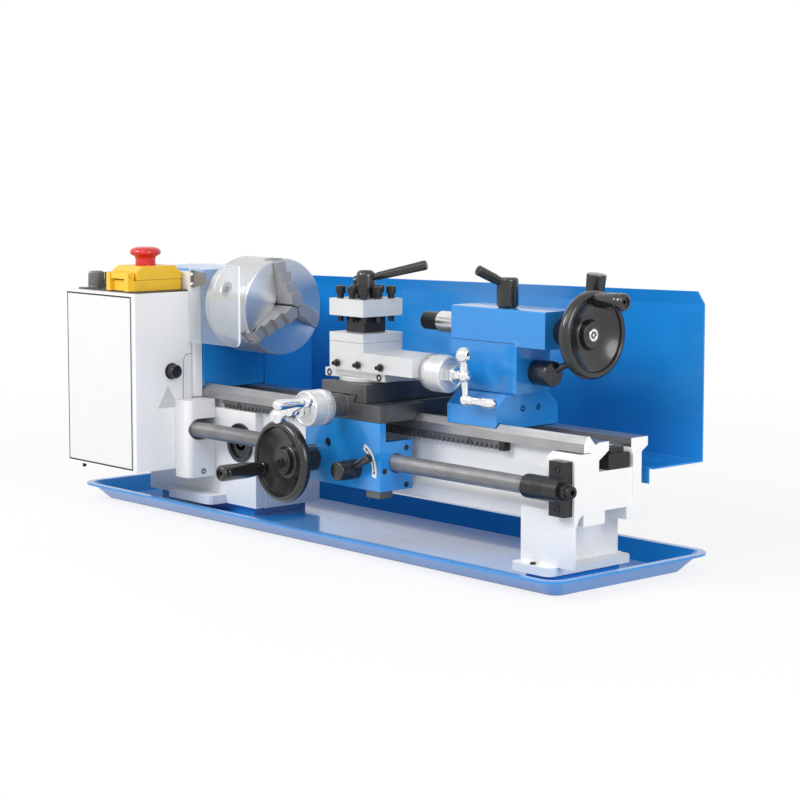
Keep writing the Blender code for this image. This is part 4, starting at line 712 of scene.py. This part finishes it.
class LATHE_OT_control_box(LatheOperator, bpy.types.Operator):
    """Control box with its bare front plate, dark top panel and fuse holder"""
    bl_idname = "lathe.control_box"
    bl_label = "Control box"

    def execute(self, context):
        edge = self.sizes(context).edge
        finish(carried("control_box", edge, 3), "box_shell", "base", "white_enamel",
               "control_box")
        finish(carried("control_panel", 0.4 * MM), "top_panel", "base", "dark_panel",
               "control_panel")
        plate = block((-339.6, BOX_FRONT - 0.5, 47.4), (-220.4, BOX_FRONT + 0.1, 227.6), 0.25)
        edit(plate)
        pick_faces(plate, lambda face: face.normal.y < -0.99)
        bpy.ops.mesh.inset(thickness=1.5 * MM)
        bpy.ops.mesh.inset(thickness=0.3 * MM, depth=-0.1 * MM)
        leave_edit()

        def border(at, normal):
            inner = -338.0 < at.x < -222.0 and 49.0 < at.z < 226.0
            return 0 if inner or normal.y > -0.5 else 1

        finish(plate, "front_plate", "base", ["plate_white", "ink"], where=border)
        finish(block((-317.5, -127.5, 41), (-315, -124, 45.3), 0.3), "box_stop", "base", "rubber")
        seam = [(BOX_SIDE, y, z) for y, z in ((-55.6, 165), (-63, 164), (-66, 158),
                                              (-66.5, 118))]
        lines = [rod(a, b, 0.28, 0.28, 8) for a, b in zip(seam, seam[1:])]
        finish(join(*lines), "box_seam", "base", "ink")
        fuse = turned((BOX_SIDE - 0.4, -81, 148), (1, 0, 0), [
            (0, 8.6), (1.2, 8.6), (1.6, 8.2), (1.6, 7.2), (2.2, 7.4), (8.4, 7.2), (9.6, 6.6),
            (9.9, 6.0), (9.9, 4.6), (9.2, 4.2), (9.2, 0.5)], 48, ribs=(2.4, 8.2, 0.35))
        finish(fuse, "fuse_holder", "base", "satin_plastic")
        corners = [(BOX_SIDE - 0.05, y, z) for y, z in ((-99, 110), (-73, 110), (-86, 133))]
        label = outline_plate(corners, 0.25, (1, 0, 0))
        finish(label, "side_label", "base", "plain_label")
        return {"FINISHED"}


class LATHE_OT_controls(LatheOperator, bpy.types.Operator):
    """Speed knob, direction switch and the emergency stop"""
    bl_idname = "lathe.controls"
    bl_label = "Controls"

    def execute(self, context):
        knob = turned((KNOB_X, KNOB_Y, PANEL_TOP), (0, 0, 1), [
            (0, 8.6), (1.4, 8.6), (1.9, 8.3), (2.3, 8.45), (15.4, 8.1), (16.6, 7.7),
            (17.3, 6.8), (17.4, 5.6), (17.0, 5.2), (17.0, 0.4)], 56, ribs=(2.4, 15.3, 0.45))
        finish(knob, "knob_cap", "knob", "grey_plastic", "speed_knob")
        line = block((KNOB_X - 0.3, KNOB_Y - 8.2, PANEL_TOP + 15),
                     (KNOB_X + 0.3, KNOB_Y - 1, PANEL_TOP + 17.45), 0.1)
        finish(line, "knob_line", "knob", "white_mark")
        dots = [turned((KNOB_X + 11.2 * cos(radians(a)), KNOB_Y + 11.2 * sin(radians(a)),
                        PANEL_TOP - 0.35), (0, 0, 1), [(0, 0.5), (0.15, 0.5), (0.2, 0.3)], 12)
                for a in range(-60, 241, 30)]
        finish(join(*dots), "knob_scale", "base", "white_mark")
        disc = turned((SWITCH_X, SWITCH_Y, PANEL_TOP), (0, 0, 1), [
            (0, 9.0), (3.8, 9.0), (4.7, 8.4), (5.0, 7.4), (5.0, 0.5)], 48)
        bar = block((SWITCH_X - 2.9, SWITCH_Y - 8, PANEL_TOP + 4),
                    (SWITCH_X + 2.9, SWITCH_Y + 8, PANEL_TOP + 15), 1.2, 3)
        finish(join(disc, bar), "switch_knob", "switch", "satin_plastic", "direction_switch")
        line = block((SWITCH_X - 0.3, SWITCH_Y - 8.1, PANEL_TOP + 7),
                     (SWITCH_X + 0.3, SWITCH_Y + 1, PANEL_TOP + 15.05), 0.1)
        finish(line, "switch_line", "switch", "white_mark")
        finish(carried("estop_base", 1.0 * MM, 3), "stop_housing", "base", "yellow_plastic",
               "estop_base")
        finish(carried("estop_lid", 0.9 * MM, 3), "stop_cover", "stop_lid", "yellow_plastic",
               "estop_lid")
        lid = PANEL_TOP + 11.3
        button = turned((ESTOP_X, ESTOP_Y, lid), (0, 0, 1), [
            (3.6, 4.0), (9.8, 4.0), (10.0, 10.2), (10.4, 10.6), (20.5, 10.5), (22.6, 11.0),
            (24.0, 12.6), (25.2, 15.0), (26.4, 16.0), (27.6, 16.3), (29.2, 16.0), (30.8, 14.9),
            (32.2, 12.6), (33.0, 9.6), (33.4, 6.0), (33.4, 0.4)], 72)
        finish(button, "stop_cap", "stop_button", "red_plastic", "estop_button", sharp=60)
        return {"FINISHED"}


class LATHE_OT_guards(LatheOperator, bpy.types.Operator):
    """Clear guard over the chuck and the bent splash guard behind the bed"""
    bl_idname = "lathe.guards"
    bl_label = "Guards"

    def execute(self, context):
        guard = carried("chuck_guard", 0.4 * MM)

        def parts(at, normal):
            if at.y > -56.9:
                return 1
            # faces across the sheet's thickness get the glowing finish: a painted highlight on the
            # guard's edges
            return 0 if abs(normal.y) > 0.9 else 2

        finish(guard, "clear_guard", "guard", ["clear_sheet", "black_oxide", "glowing_edge_highlight"],
               "chuck_guard", where=parts)
        screws = [socket_screw((-210.6, -59.6, z), (0, -1, 0), 2.0, 1.0) for z in (238.5, 248.5)]
        finish(join(*screws), "guard_screws", "guard", "chrome")
        finish(carried("splash_guard", self.sizes(context).sheet_edge, 1), "splash_sheet",
               "base", "gloss_paint", "splash_guard")
        bolts = [socket_screw((x, 42.9, 90), (0, 1, 0), 3.0, 2.4) for x in (-90, 90, 240)]
        finish(join(*bolts), "splash_bolts", "base", "black_oxide")
        return {"FINISHED"}


def jaw_cutter(half, low, high, angle):
    """Cutter for a jaw's slot, from the chuck's axis outwards at an angle."""
    tool = block((low, -half, AXIS_Z), (high, half, AXIS_Z + 70))
    tool.matrix_world = around("X", (0, 0, AXIS_Z), angle - 90.0)
    return settle(tool)


class LATHE_OT_chuck(LatheOperator, bpy.types.Operator):
    """Spindle nose, backplate and the three-jaw chuck"""
    bl_idname = "lathe.chuck"
    bl_label = "Chuck"

    def execute(self, context):
        finish(carried("spindle", 0.3 * MM), "spindle_nose", "spindle", "chuck_steel", "spindle")
        plate = turned((CHUCK_BACK - 8, 0, AXIS_Z), (1, 0, 0), [
            (0, 11), (0, 45.5), (1.2, 47), (7.7, 47), (7.7, 11)], 120, ring=True)
        finish(plate, "chuck_flange", "spindle", "chuck_steel", "chuck_backplate")
        depth = CHUCK_FACE - CHUCK_BACK
        body = turned((CHUCK_BACK, 0, AXIS_Z), (1, 0, 0), [
            (0, 11), (0, 48.8), (0.4, 49.6), (1.2, CHUCK_R), (6.6, CHUCK_R), (6.9, 49.55),
            (7.5, 49.55),
            (7.8, CHUCK_R), (depth - 1.5, CHUCK_R), (depth - 0.45, 49.55), (depth, 48.5),
            (depth, 30), (depth, 14.2), (depth - 1.2, 13.0), (depth - 1.2, 11)], 144, ring=True)
        for k in range(3):
            angle = JAW_ANGLE + 120 * k
            cut(body, jaw_cutter(JAW_WIDTH / 2 + 0.3, -150, CHUCK_FACE + 5, angle),
                jaw_cutter(JAW_WIDTH / 2 + 2.8, CHUCK_FACE - 11.3, CHUCK_FACE - 6, angle))
        for k in range(3):
            turn = radians(JAW_ANGLE + 60 + 120 * k)
            way = (0, cos(turn), sin(turn))
            foot = (-168, 24.6 * way[1], AXIS_Z + 24.6 * way[2])
            cut(body, turned(foot, way, [(0, 7.8), (24.4, 7.8), (25.5, 9.2), (36, 9.2)], 48))
        finish(body, "chuck_shell", "spindle", "chuck_steel", "chuck_body", sharp=30)
        put_finish("chuck_scroll", "black_oxide")
        for k in range(3):
            node = "chuck_jaw_%d" % (k + 1)
            finish(carried(node, 0.45 * MM), "jaw_block_%d" % (k + 1), "jaw_%d" % (k + 1),
                   "jaw_steel", node)
        finish(carried("chuck_pinion", 0.3 * MM), "key_socket_1", "key_pinion", "jaw_steel",
               "chuck_pinion")
        for k in (1, 2):
            socket = carried("chuck_pinion", 0.3 * MM)
            socket.matrix_world = around("X", (0, 0, AXIS_Z), 120.0 * k)
            finish(settle(socket), "key_socket_%d" % (k + 1), "spindle", "jaw_steel")
        return {"FINISHED"}


def crank(hub, outward, arm, long_reach, short_reach):
    """Balanced ball crank: hub ball, tapered arms, end balls and a waisted grip."""
    hub, outward, arm = Vector(hub), Vector(outward), Vector(arm).normalized()
    far, near = hub + arm * long_reach, hub - arm * short_reach
    parts = [ball(hub, 6.2), ball(far, 5.6), ball(near, 7.6), rod(hub, far, 3.6, 3.0),
             rod(hub, near, 3.6, 3.6)]
    for centre, radius in ((hub, 6.2), (near, 7.6)):
        parts.append(turned(centre, outward, [
            (0, radius * 0.5), (radius * 0.93, radius * 0.5), (radius * 0.96, radius * 0.42),
            (radius * 0.96, 1.6, "hex"), (radius * 0.7, 1.5)], 24))
    grip = turned(far, outward, [
        (0, 3.0), (4.6, 3.0), (5.0, 4.2), (6.2, 4.8), (8.0, 4.4), (12, 3.9), (18, 4.2),
        (26, 4.9), (31, 5.1), (35, 4.6), (37, 3.6), (38, 2.2), (38, 0.3)], 40)
    return join(*parts, grip)


def dial(start, towards):
    """Graduated dial with a sunk line, and the hexagon nut in front of it."""
    body = turned(start, towards, [
        (0, 15.6), (0.8, 16.4), (6, 17.0), (9.8, 17.0), (10.0, 16.7), (10.5, 16.7),
        (10.7, 17.0), (23.6, 17.0), (24.6, 16.6), (25.2, 15.8), (25.4, 14.6), (24.6, 13.6),
        (24.6, 6.0)], 96)
    nut = turned(Vector(start) + Vector(towards) * 24.6, towards, [
        (0, 8.4), (0.6, 9.0), (8.2, 9.0), (9.0, 8.0), (9.0, 5.0)], 6)
    return body, round_edges(nut, 0.3 * MM)


class LATHE_OT_cross_slide(LatheOperator, bpy.types.Operator):
    """Cross slide, its graduated dial and its ball crank"""
    bl_idname = "lathe.cross_slide"
    bl_label = "Cross slide"

    def execute(self, context):
        sizes = self.sizes(context)
        finish(carried("cross_slide", sizes.machined_edge), "cross_table", "cross",
               "machined_iron", "cross_slide")
        wheel, nut = dial((CROSS_X, -104.3, CROSS_Z), (0, -1, 0))
        shaft = rod((CROSS_X, -128, CROSS_Z), (CROSS_X, -143, CROSS_Z), 5.5)
        inner = rod((CROSS_X, -104, CROSS_Z), (CROSS_X, 26, CROSS_Z), 5.5)
        lean = (cos(radians(22)), 0, sin(radians(22)))
        handle = crank((CROSS_X, -147, CROSS_Z), (0, -1, 0), lean, 27, 19)
        finish(wheel, "cross_dial_ring", "cross_crank", "cross_dial", "cross_handle")
        finish(join(nut, shaft, inner, handle), "cross_crank_arm", "cross_crank", "chrome",
               sharp=45)
        marks = ring_marks((CROSS_X, -105.4, CROSS_Z), "Y", (0, -1, 0), 17.0, sizes.dial_marks,
                           6.0)
        finish(marks, "cross_marks", "cross_crank", "ink")
        return {"FINISHED"}


class LATHE_OT_compound(LatheOperator, bpy.types.Operator):
    """Swivelling compound slide with its gib screws, dial and crank"""
    bl_idname = "lathe.compound"
    bl_label = "Compound slide"

    def execute(self, context):
        sizes = self.sizes(context)
        finish(carried("compound_base", sizes.machined_edge), "swivel_plate", "swivel",
               "ground_steel", "compound_base")
        nuts = [turned((x, -70.0, 166.2), (0, -1, 0), [
            (-0.4, 3.4), (0.35, 3.4), (0.6, 3.1), (0.6, 1.9), (-0.1, 1.8), (-0.1, 0.2)], 32)
            for x in (26, 98)]
        finish(join(*nuts), "swivel_screws", "swivel", "black_oxide")
        finish(carried("compound_slide", sizes.machined_edge), "top_slide", "top",
               "ground_steel", "compound_slide")
        gibs = []
        for x in (46, 76, 108):
            gibs.append(turned((x, -76.4, 177.0), (0, -1, 0), [
                (0, 3.6), (0.3, 3.8), (2.2, 3.8), (2.6, 3.4), (2.6, 2.0)], 6))
            gibs.append(socket_screw((x, -78.8, 177.0), (0, -1, 0), 2.0, 4.0))
        finish(join(*gibs), "gib_screws", "top", "black_oxide")
        wheel, nut = dial((151.3, POST_Y, COMPOUND_Z), (1, 0, 0))
        shaft = rod((175, POST_Y, COMPOUND_Z), (192, POST_Y, COMPOUND_Z), 5.0)
        inner = rod((41, POST_Y, COMPOUND_Z), (152, POST_Y, COMPOUND_Z), 4.0)
        handle = crank((195, POST_Y, COMPOUND_Z), (1, 0, 0), (0, 0.05, -1), 22, 19)
        finish(wheel, "compound_dial_ring", "top_crank", "compound_dial", "compound_handle")
        finish(join(nut, shaft, inner, handle), "compound_crank_arm", "top_crank", "chrome",
               sharp=45)
        marks = ring_marks((152.4, POST_Y, COMPOUND_Z), "X", (1, 0, 0), 17.0, sizes.dial_marks,
                           6.0)
        finish(marks, "compound_marks", "top_crank", "ink")
        return {"FINISHED"}


class LATHE_OT_tool_post(LatheOperator, bpy.types.Operator):
    """Four-way tool post, its clamp screws and its lever"""
    bl_idname = "lathe.tool_post"
    bl_label = "Tool post"

    def execute(self, context):
        def dark(at, normal):
            return 1 if at.z > POST_TOP + 0.1 or 206.1 < at.z < 221.9 else 0

        body = cut(carried("tool_post", 0), block((20, -90, POST_TOP + 0.05), (97, -14, 260)))
        finish(round_edges(body, self.sizes(context).machined_edge), "post_block", "post",
               ["ground_steel", "black_oxide"], "tool_post", where=dark)
        head = turned((POST_X - 17, POST_Y - 17, POST_TOP), (0, 0, 1), [
            (-0.2, 3.2), (4.5, 3.2), (4.5, 4.4), (4.8, 4.75), (11.0, 4.75), (11.5, 4.4),
            (11.5, 2.6, "hex"), (7.5, 2.5), (7.5, 0.2)], 36, ribs=(4.9, 10.8, 0.12))
        places = [around("Z", (POST_X, POST_Y, 0), 90 * k) @ shifted(step, 0, 0)
                  for k in range(4) for step in (0, 17)]
        finish(copies(head, places), "clamp_screws", "post", "black_oxide")
        hub = turned((POST_X, POST_Y, POST_TOP), (0, 0, 1), [
            (0.3, 9.4), (0.9, 10.0), (4.0, 10.0), (4.4, 9.6), (10, 9.5), (21, 9.2), (24, 8.4),
            (26, 6.4), (26.5, 4.4), (26.5, 0.4)], 56)
        reach = Vector((cos(radians(32)), sin(radians(32)), 0.24)).normalized()
        start = Vector((POST_X, POST_Y, POST_TOP + 18))
        shank = rod(start, start + reach * 20, 3.4, 3.4)
        knob = turned(start + reach * 12, reach, [
            (0, 3.4), (0.6, 3.9), (30, 4.3), (47.5, 4.7), (49.0, 4.4), (49.6, 3.6), (49.6, 0.3)],
            40)
        boss = turned(start - reach * 11.5, reach, [
            (0, 4.4), (0.8, 5.2), (4, 5.4), (11, 5.4)], 32)
        finish(join(hub, shank, knob, boss), "post_lever_arm", "post_lever", "satin_plastic",
               "tool_lever", sharp=45)
        return {"FINISHED"}


def handwheel(start, towards):
    """Dished handwheel: round rim, deep thin web, and a hub with a ring."""
    sides = bpy.context.scene.lathe_sizes.rim_sides
    return turned(start, towards, [
        (0, 10.4), (0.6, 11.0), (7.4, 12.4), (8.8, 14.6), (9.6, 22), (10.0, 30), (10.4, 34.4),
        (11.2, 36.6), (12.6, 38.4), (14.4, 39.3), (16.2, 39.5), (18.2, 39.3), (20.0, 38.4),
        (21.4, 36.9), (22.0, 35.2), (21.9, 34.0), (21.3, 33.2), (20.4, 32.9), (19.0, 32.7),
        (18.2, 32.2), (15.4, 27.6), (13.0, 22.4), (11.6, 18.0), (11.2, 15.4), (11.6, 13.6),
        (13.0, 12.8), (16.6, 12.2), (17.3, 11.8), (17.5, 11.2), (17.5, 9.6), (17.2, 9.2),
        (17.2, 8.8), (17.5, 8.4), (17.5, 3.0)], sides)


def grip(start, towards, reach):
    """Turned grip on its spindle, swelling towards a ribbed end with a sunk screw."""
    return turned(start, towards, [
        (0, 4.6), (0.8, 5.4), (1.6, 5.6), (3.0, 5.6), (3.4, 5.0), (4.0, 5.0), (4.4, 5.8),
        (7, 6.3), (14, 7.0), (22, 7.5), (reach - 9, 7.8), (reach - 7, 7.9), (reach - 6.6, 7.5),
        (reach - 6.0, 7.5), (reach - 5.6, 7.9), (reach - 2.2, 7.8), (reach - 0.7, 7.2),
        (reach, 6.0), (reach, 4.6), (reach - 1.6, 4.2), (reach - 1.6, 2.4, "hex"),
        (reach - 4, 2.3), (reach - 4, 0.2)], 56)


def arc_band(centre, inner, outer, first, last, thickness):
    """Flat curved band on the apron's front, between two angles."""
    x, y, z = centre
    steps = [first + (last - first) * k / 18 for k in range(19)]
    outline = [(x + r * cos(radians(a)), y, z + r * sin(radians(a)))
               for r, span in ((outer, steps), (inner, steps[::-1])) for a in span]
    return outline_plate(outline, thickness, (0, -1, 0))


class LATHE_OT_apron(LatheOperator, bpy.types.Operator):
    """Saddle, apron, carriage handwheel and the half-nut lever"""
    bl_idname = "lathe.apron"
    bl_label = "Saddle and apron"

    def execute(self, context):
        sizes = self.sizes(context)
        finish(carried("saddle", sizes.machined_edge), "saddle_casting", "carriage",
               "machined_iron", "saddle")
        finish(carried("apron", sizes.edge), "apron_casting", "carriage",
               ["gloss_paint", "machined_iron"], "apron",
               where=lambda at, normal: 1 if at.z < 61.9 else 0)
        screws = [turned((115.45, y, z), (1, 0, 0), [
            (0, 2.7), (0.5, 2.7), (0.7, 2.4), (0.7, 1.3, "hex"), (0.2, 1.2), (0.2, 0.2)], 36)
                  for y, z in ((-51.5, 101), (-51.5, 81), (-51.5, 66), (-78.5, 81))]
        finish(join(*screws), "apron_screws", "carriage", "rubber")
        front = sunk_screw((40.3, APRON_FRONT, 102.5), (0, -1, 0), 2.6)
        finish(front, "apron_oiler", "carriage", "black_oxide")
        finish(arc_band((SCALE_X, APRON_FRONT - 0.02, HALFNUT_Z), 21.5, 27.5, -12, 66, 0.3),
               "half_nut_scale", "carriage", "white_mark")
        ink_face = APRON_FRONT - 0.3
        arrow = [arc_band((SCALE_X, ink_face, HALFNUT_Z), 24.1, 25.0, 0, 54, 0.15)]
        for angle, tip in ((0, -7), (54, 61)):
            at = [(SCALE_X + r * cos(radians(a)), ink_face, HALFNUT_Z + r * sin(radians(a)))
                  for r, a in ((23.0, angle), (24.5, tip), (26.0, angle))]
            arrow.append(outline_plate(at if tip < angle else at[::-1], 0.15, (0, -1, 0)))
        finish(join(*arrow), "half_nut_arrow", "carriage", "ink")
        wheel = handwheel((WHEEL_X, WHEEL_FACE + 22, WHEEL_Z), (0, -1, 0))
        collar = turned((WHEEL_X, APRON_FRONT - 0.3, WHEEL_Z), (0, -1, 0), [
            (0, 12.4), (0.6, 13.0), (18, 13.0), (20, 11.8), (23, 11.0)], 64)
        turn = radians(199.0)
        spot = (WHEEL_X + 30 * cos(turn), WHEEL_FACE + 6, WHEEL_Z + 30 * sin(turn))
        handle = grip(spot, (0, -1, 0), 53)
        tail = carried("carriage_wheel", 0)
        edit(tail)
        bpy.ops.mesh.bisect(plane_co=(0, -0.0835, 0), plane_no=(0, 1, 0), use_fill=True,
                            clear_inner=True)
        bpy.ops.object.mode_set(mode="OBJECT")
        finish(tail, "carriage_wheel_gear", "feed_wheel", "black_oxide")
        finish(join(wheel, collar), "carriage_wheel_rim", "feed_wheel", "satin_plastic",
               "carriage_wheel", sharp=50)
        finish(handle, "carriage_wheel_grip", "feed_wheel", "gloss_plastic", sharp=50)
        cap = socket_screw((WHEEL_X, WHEEL_FACE + 4.4, WHEEL_Z), (0, -1, 0), 3.4, 1.6)
        finish(cap, "carriage_wheel_screw", "feed_wheel", "black_oxide")
        hub = turned((HALFNUT_X, APRON_FRONT - 0.3, HALFNUT_Z), (0, -1, 0), [
            (0, 9.4), (0.6, 9.8), (21.0, 9.2), (22.4, 8.8), (23.2, 7.8), (23.2, 0.4)], 64)
        arm = turned((HALFNUT_X, APRON_FRONT - 7.5, HALFNUT_Z), (0.895, 0, 0.445), [
            (0, 3.2), (22, 3.6), (29.0, 4.2), (31.4, 4.2), (32.4, 3.4), (32.6, 2.2),
            (32.6, 0.3)], 32)
        finish(join(hub, arm), "half_nut_arm", "nut_lever", "satin_plastic", "half_nut_lever",
               sharp=45)
        for node, paint in (("half_nut_upper", "brass"), ("half_nut_lower", "brass"),
                            ("rack_pinion", "black_oxide")):
            put_finish(node, paint)
        return {"FINISHED"}


class LATHE_OT_tailstock(LatheOperator, bpy.types.Operator):
    """Tailstock, quill, centre, feed wheel and clamp levers"""
    bl_idname = "lathe.tailstock"
    bl_label = "Tailstock"

    def execute(self, context):
        edge = self.sizes(context).edge
        finish(carried("tailstock_base", edge), "tail_base", "tailstock", "gloss_paint",
               "tailstock_base")
        screws = [sunk_screw((223.45, y, 144), (1, 0, 0), 2.6) for y in (-6, 14)]
        finish(join(*screws), "tail_screws", "tailstock", "rubber")
        finish(rod((147, -22, 204), (229, -22, 204), 0.25, 0.25, 8), "tail_seam", "tailstock",
               "ink")
        finish(carried("tailstock_body", edge), "tail_body", "tailstock", "gloss_paint",
               "tailstock_body")
        sleeve = turned((109, 0, AXIS_Z), (1, 0, 0), [
            (0, 6.4), (0, 9.2), (0.8, 10), (95, 10), (95, 5.3), (30, 5.3)], 72, ring=True)
        finish(sleeve, "quill_sleeve", "quill", "quill_steel", "quill")
        point = turned((78.2, 0, AXIS_Z), (1, 0, 0), [
            (0.02, 0.08), (9.0, 8.1), (9.6, 8.6), (26.0, 8.6), (30.4, 8.6), (30.4, 6.0),
            (55.8, 4.6)], 64)
        finish(point, "centre_point", "quill", "black_oxide", "dead_centre")
        wheel = handwheel((287, 0, AXIS_Z), (1, 0, 0))
        collar = turned((266.9, 0, AXIS_Z), (1, 0, 0), [
            (0, 12.0), (0.6, 12.5), (14, 12.5), (14.5, 12.1), (15.2, 12.1), (15.7, 12.5),
            (27.6, 12.5), (28.1, 11.6)], 64)
        shaft = rod((176, 0, AXIS_Z), (270, 0, AXIS_Z), 5.0)
        handle = grip((303, -1, AXIS_Z + 31), (1, 0, 0), 40)
        finish(join(wheel, collar, shaft), "tail_wheel_rim", "quill_wheel", "satin_plastic",
               "tail_wheel", sharp=50)
        finish(handle, "tail_wheel_grip", "quill_wheel", "gloss_plastic", sharp=50)
        washer = turned((304.2, 0, AXIS_Z), (1, 0, 0), [
            (0, 5.6), (0.9, 5.6), (1.2, 5.2), (1.2, 4.3), (0.5, 4.2), (0.5, 3.2)], 48)
        finish(washer, "tail_wheel_ring", "quill_wheel", "chrome")
        cap = socket_screw((304.0, 0, AXIS_Z), (1, 0, 0), 3.2, 1.0)
        finish(cap, "tail_wheel_screw", "quill_wheel", "black_oxide")
        hub = turned((TAIL_LEVER_X, -8, TAIL_TOP), (0, 0, 1), [
            (0.3, 8.4), (1.0, 8.6), (1.4, 9.6), (2.0, 10), (24.6, 10), (26.6, 9.4), (27.5, 8.0),
            (27.5, 0.4)], 64)
        start = Vector((TAIL_LEVER_X, -8, TAIL_TOP + 20))
        end = start + Vector((-9, -29, 15))
        shank = rod(start, end, 4.2, 4.4)
        knob = rod(start + (end - start) * 0.4, end, 4.6, 4.8)
        finish(join(hub, shank, knob), "quill_lever_arm", "quill_lock", "satin_plastic",
               "quill_lever", sharp=45)
        hub = turned((230.4, 4, 177), (1, 0, 0), [
            (0.3, 11.2), (0.9, 11.6), (20.4, 12.0), (21.8, 11.7), (22.5, 11.0), (22.5, 0.4)], 72)
        lean = [rod((247.4, 7, 178), CLAMP_ELBOW, 3.2), rod(CLAMP_ELBOW, (281.5, 25, 246), 3.2)]
        knob = turned((281, 25, 243), (3.5, 0, 25), [
            (0, 7.0), (0.8, 8.0), (23.8, 9.1), (25.0, 8.6), (25.3, 7.4), (25.3, 0.4)], 56)
        finish(join(hub, *lean, knob, ball(CLAMP_ELBOW, 3.2)), "clamp_lever_arm", "bed_clamp",
               "satin_plastic", "clamp_lever", sharp=45)
        return {"FINISHED"}


class LATHE_OT_stage(LatheOperator, bpy.types.Operator):
    """Pale floor, soft light and camera"""
    bl_idname = "lathe.stage"
    bl_label = "Stage"

    def execute(self, context):
        scene = context.scene
        scene.view_settings.view_transform = "Standard"
        self.lay_floor(scene)
        self.light_world(scene)
        for name, place, size, power in (("key", (-0.75, -1.7, 1.4), 0.9, 24.0),
                                         ("side", (2.2, -0.3, 1.0), 1.2, 21.0),
                                         ("fill", (0.6, -1.6, 1.8), 1.4, 13.0)):
            data = bpy.data.lights.new(name, "AREA")
            data.shape, data.size, data.energy = "DISK", size, power
            aim = Vector((0, 0, 0.12)) - Vector(place)
            self.put(scene, name, data, place, aim)
        data = bpy.data.cameras.new("camera")
        data.lens, data.sensor_width, data.shift_y = 94.3045, 36.0, -0.06
        data.clip_start, data.clip_end = 0.05, 50.0
        heading, dip = 0.8438031, 0.0983515
        aim = Vector((-sin(heading) * cos(dip), cos(heading) * cos(dip), -sin(dip)))
        scene.camera = self.put(scene, "camera", data, (1.5614822, -1.3456015, 0.3820624), aim)
        return {"FINISHED"}

    def put(self, scene, name, data, place, aim):
        obj = bpy.data.objects.new(name, data)
        scene.collection.objects.link(obj)
        obj.location = place
        obj.rotation_euler = aim.to_track_quat("-Z", "Y").to_euler()
        return obj

    def lay_floor(self, scene):
        """Floor that keeps the machine's shadow and fades to plain white away from it."""
        deselect()
        bpy.ops.mesh.primitive_plane_add(size=14, location=(0, 0, -0.0004))
        floor = bpy.context.object
        floor.name = "floor"
        nodes = Nodes(bpy.data.materials.new("floor"))
        nodes.shader.inputs["Base Color"].default_value = (*scene.lathe_colours.floor, 1)
        nodes.shader.inputs["Roughness"].default_value = 0.6
        distance = nodes.add("VectorMath", operation="LENGTH")
        nodes.link(nodes.add("TexCoord").outputs["Object"], distance.inputs[0])
        share = nodes.spread(distance.outputs["Value"], (0.45, 1.3, 0.82, 1.0))
        glowing = nodes.add("Math", operation="MULTIPLY")
        nodes.link(nodes.directly_seen(), glowing.inputs[0])
        nodes.link(share, glowing.inputs[1])
        nodes.mix_shaders(glowing.outputs["Value"], nodes.shader.outputs["BSDF"],
                          nodes.add("Emission", Strength=1.0).outputs["Emission"],
                          "Material Output")
        floor.data.materials.append(nodes.owner)

    def light_world(self, scene):
        """Soft light from all round, seen as plain white."""
        world = bpy.data.worlds.new("studio")
        scene.world = world
        nodes = Nodes(world)
        sky = nodes.tree.nodes["Background"]
        sky.inputs["Strength"].default_value = 0.46
        white = nodes.add("Background", Strength=1.0)
        for background in (sky, white):
            background.inputs["Color"].default_value = (1, 1, 1, 1)
        nodes.mix_shaders(nodes.directly_seen(), sky.outputs["Background"],
                          white.outputs["Background"], "World Output")


STEPS = (LATHE_OT_finishes, LATHE_OT_stage, LATHE_OT_tray, LATHE_OT_bed, LATHE_OT_leadscrew,
         LATHE_OT_headstock, LATHE_OT_control_box, LATHE_OT_controls, LATHE_OT_guards,
         LATHE_OT_chuck, LATHE_OT_apron, LATHE_OT_cross_slide, LATHE_OT_compound,
         LATHE_OT_tool_post, LATHE_OT_tailstock)


class LATHE_PT_pieces(bpy.types.Panel):
    """Sidebar panel with a button for each group of pieces"""
    bl_idname = "LATHE_PT_pieces"
    bl_label = "Metal lathe"
    bl_space_type = "VIEW_3D"
    bl_region_type = "UI"
    bl_category = "Lathe"

    def draw(self, context):
        for step in STEPS:
            self.layout.operator(step.bl_idname)
        for group in (context.scene.lathe_colours, context.scene.lathe_sizes):
            for key in group.bl_rna.properties.keys():
                if key not in ("rna_type", "name"):
                    self.layout.prop(group, key)


CLASSES = (LatheColours, LatheSizes, *STEPS, LATHE_PT_pieces)


def register():
    for entry in CLASSES:
        bpy.utils.register_class(entry)
    bpy.types.Scene.lathe_colours = PointerProperty(type=LatheColours)
    bpy.types.Scene.lathe_sizes = PointerProperty(type=LatheSizes)


def unregister():
    del bpy.types.Scene.lathe_colours, bpy.types.Scene.lathe_sizes
    for entry in reversed(CLASSES):
        bpy.utils.unregister_class(entry)


def main():
    register()
    for step in STEPS:
        group, action = step.bl_idname.split(".")
        getattr(getattr(bpy.ops, group), action)()


if __name__ == "__main__":
    main()
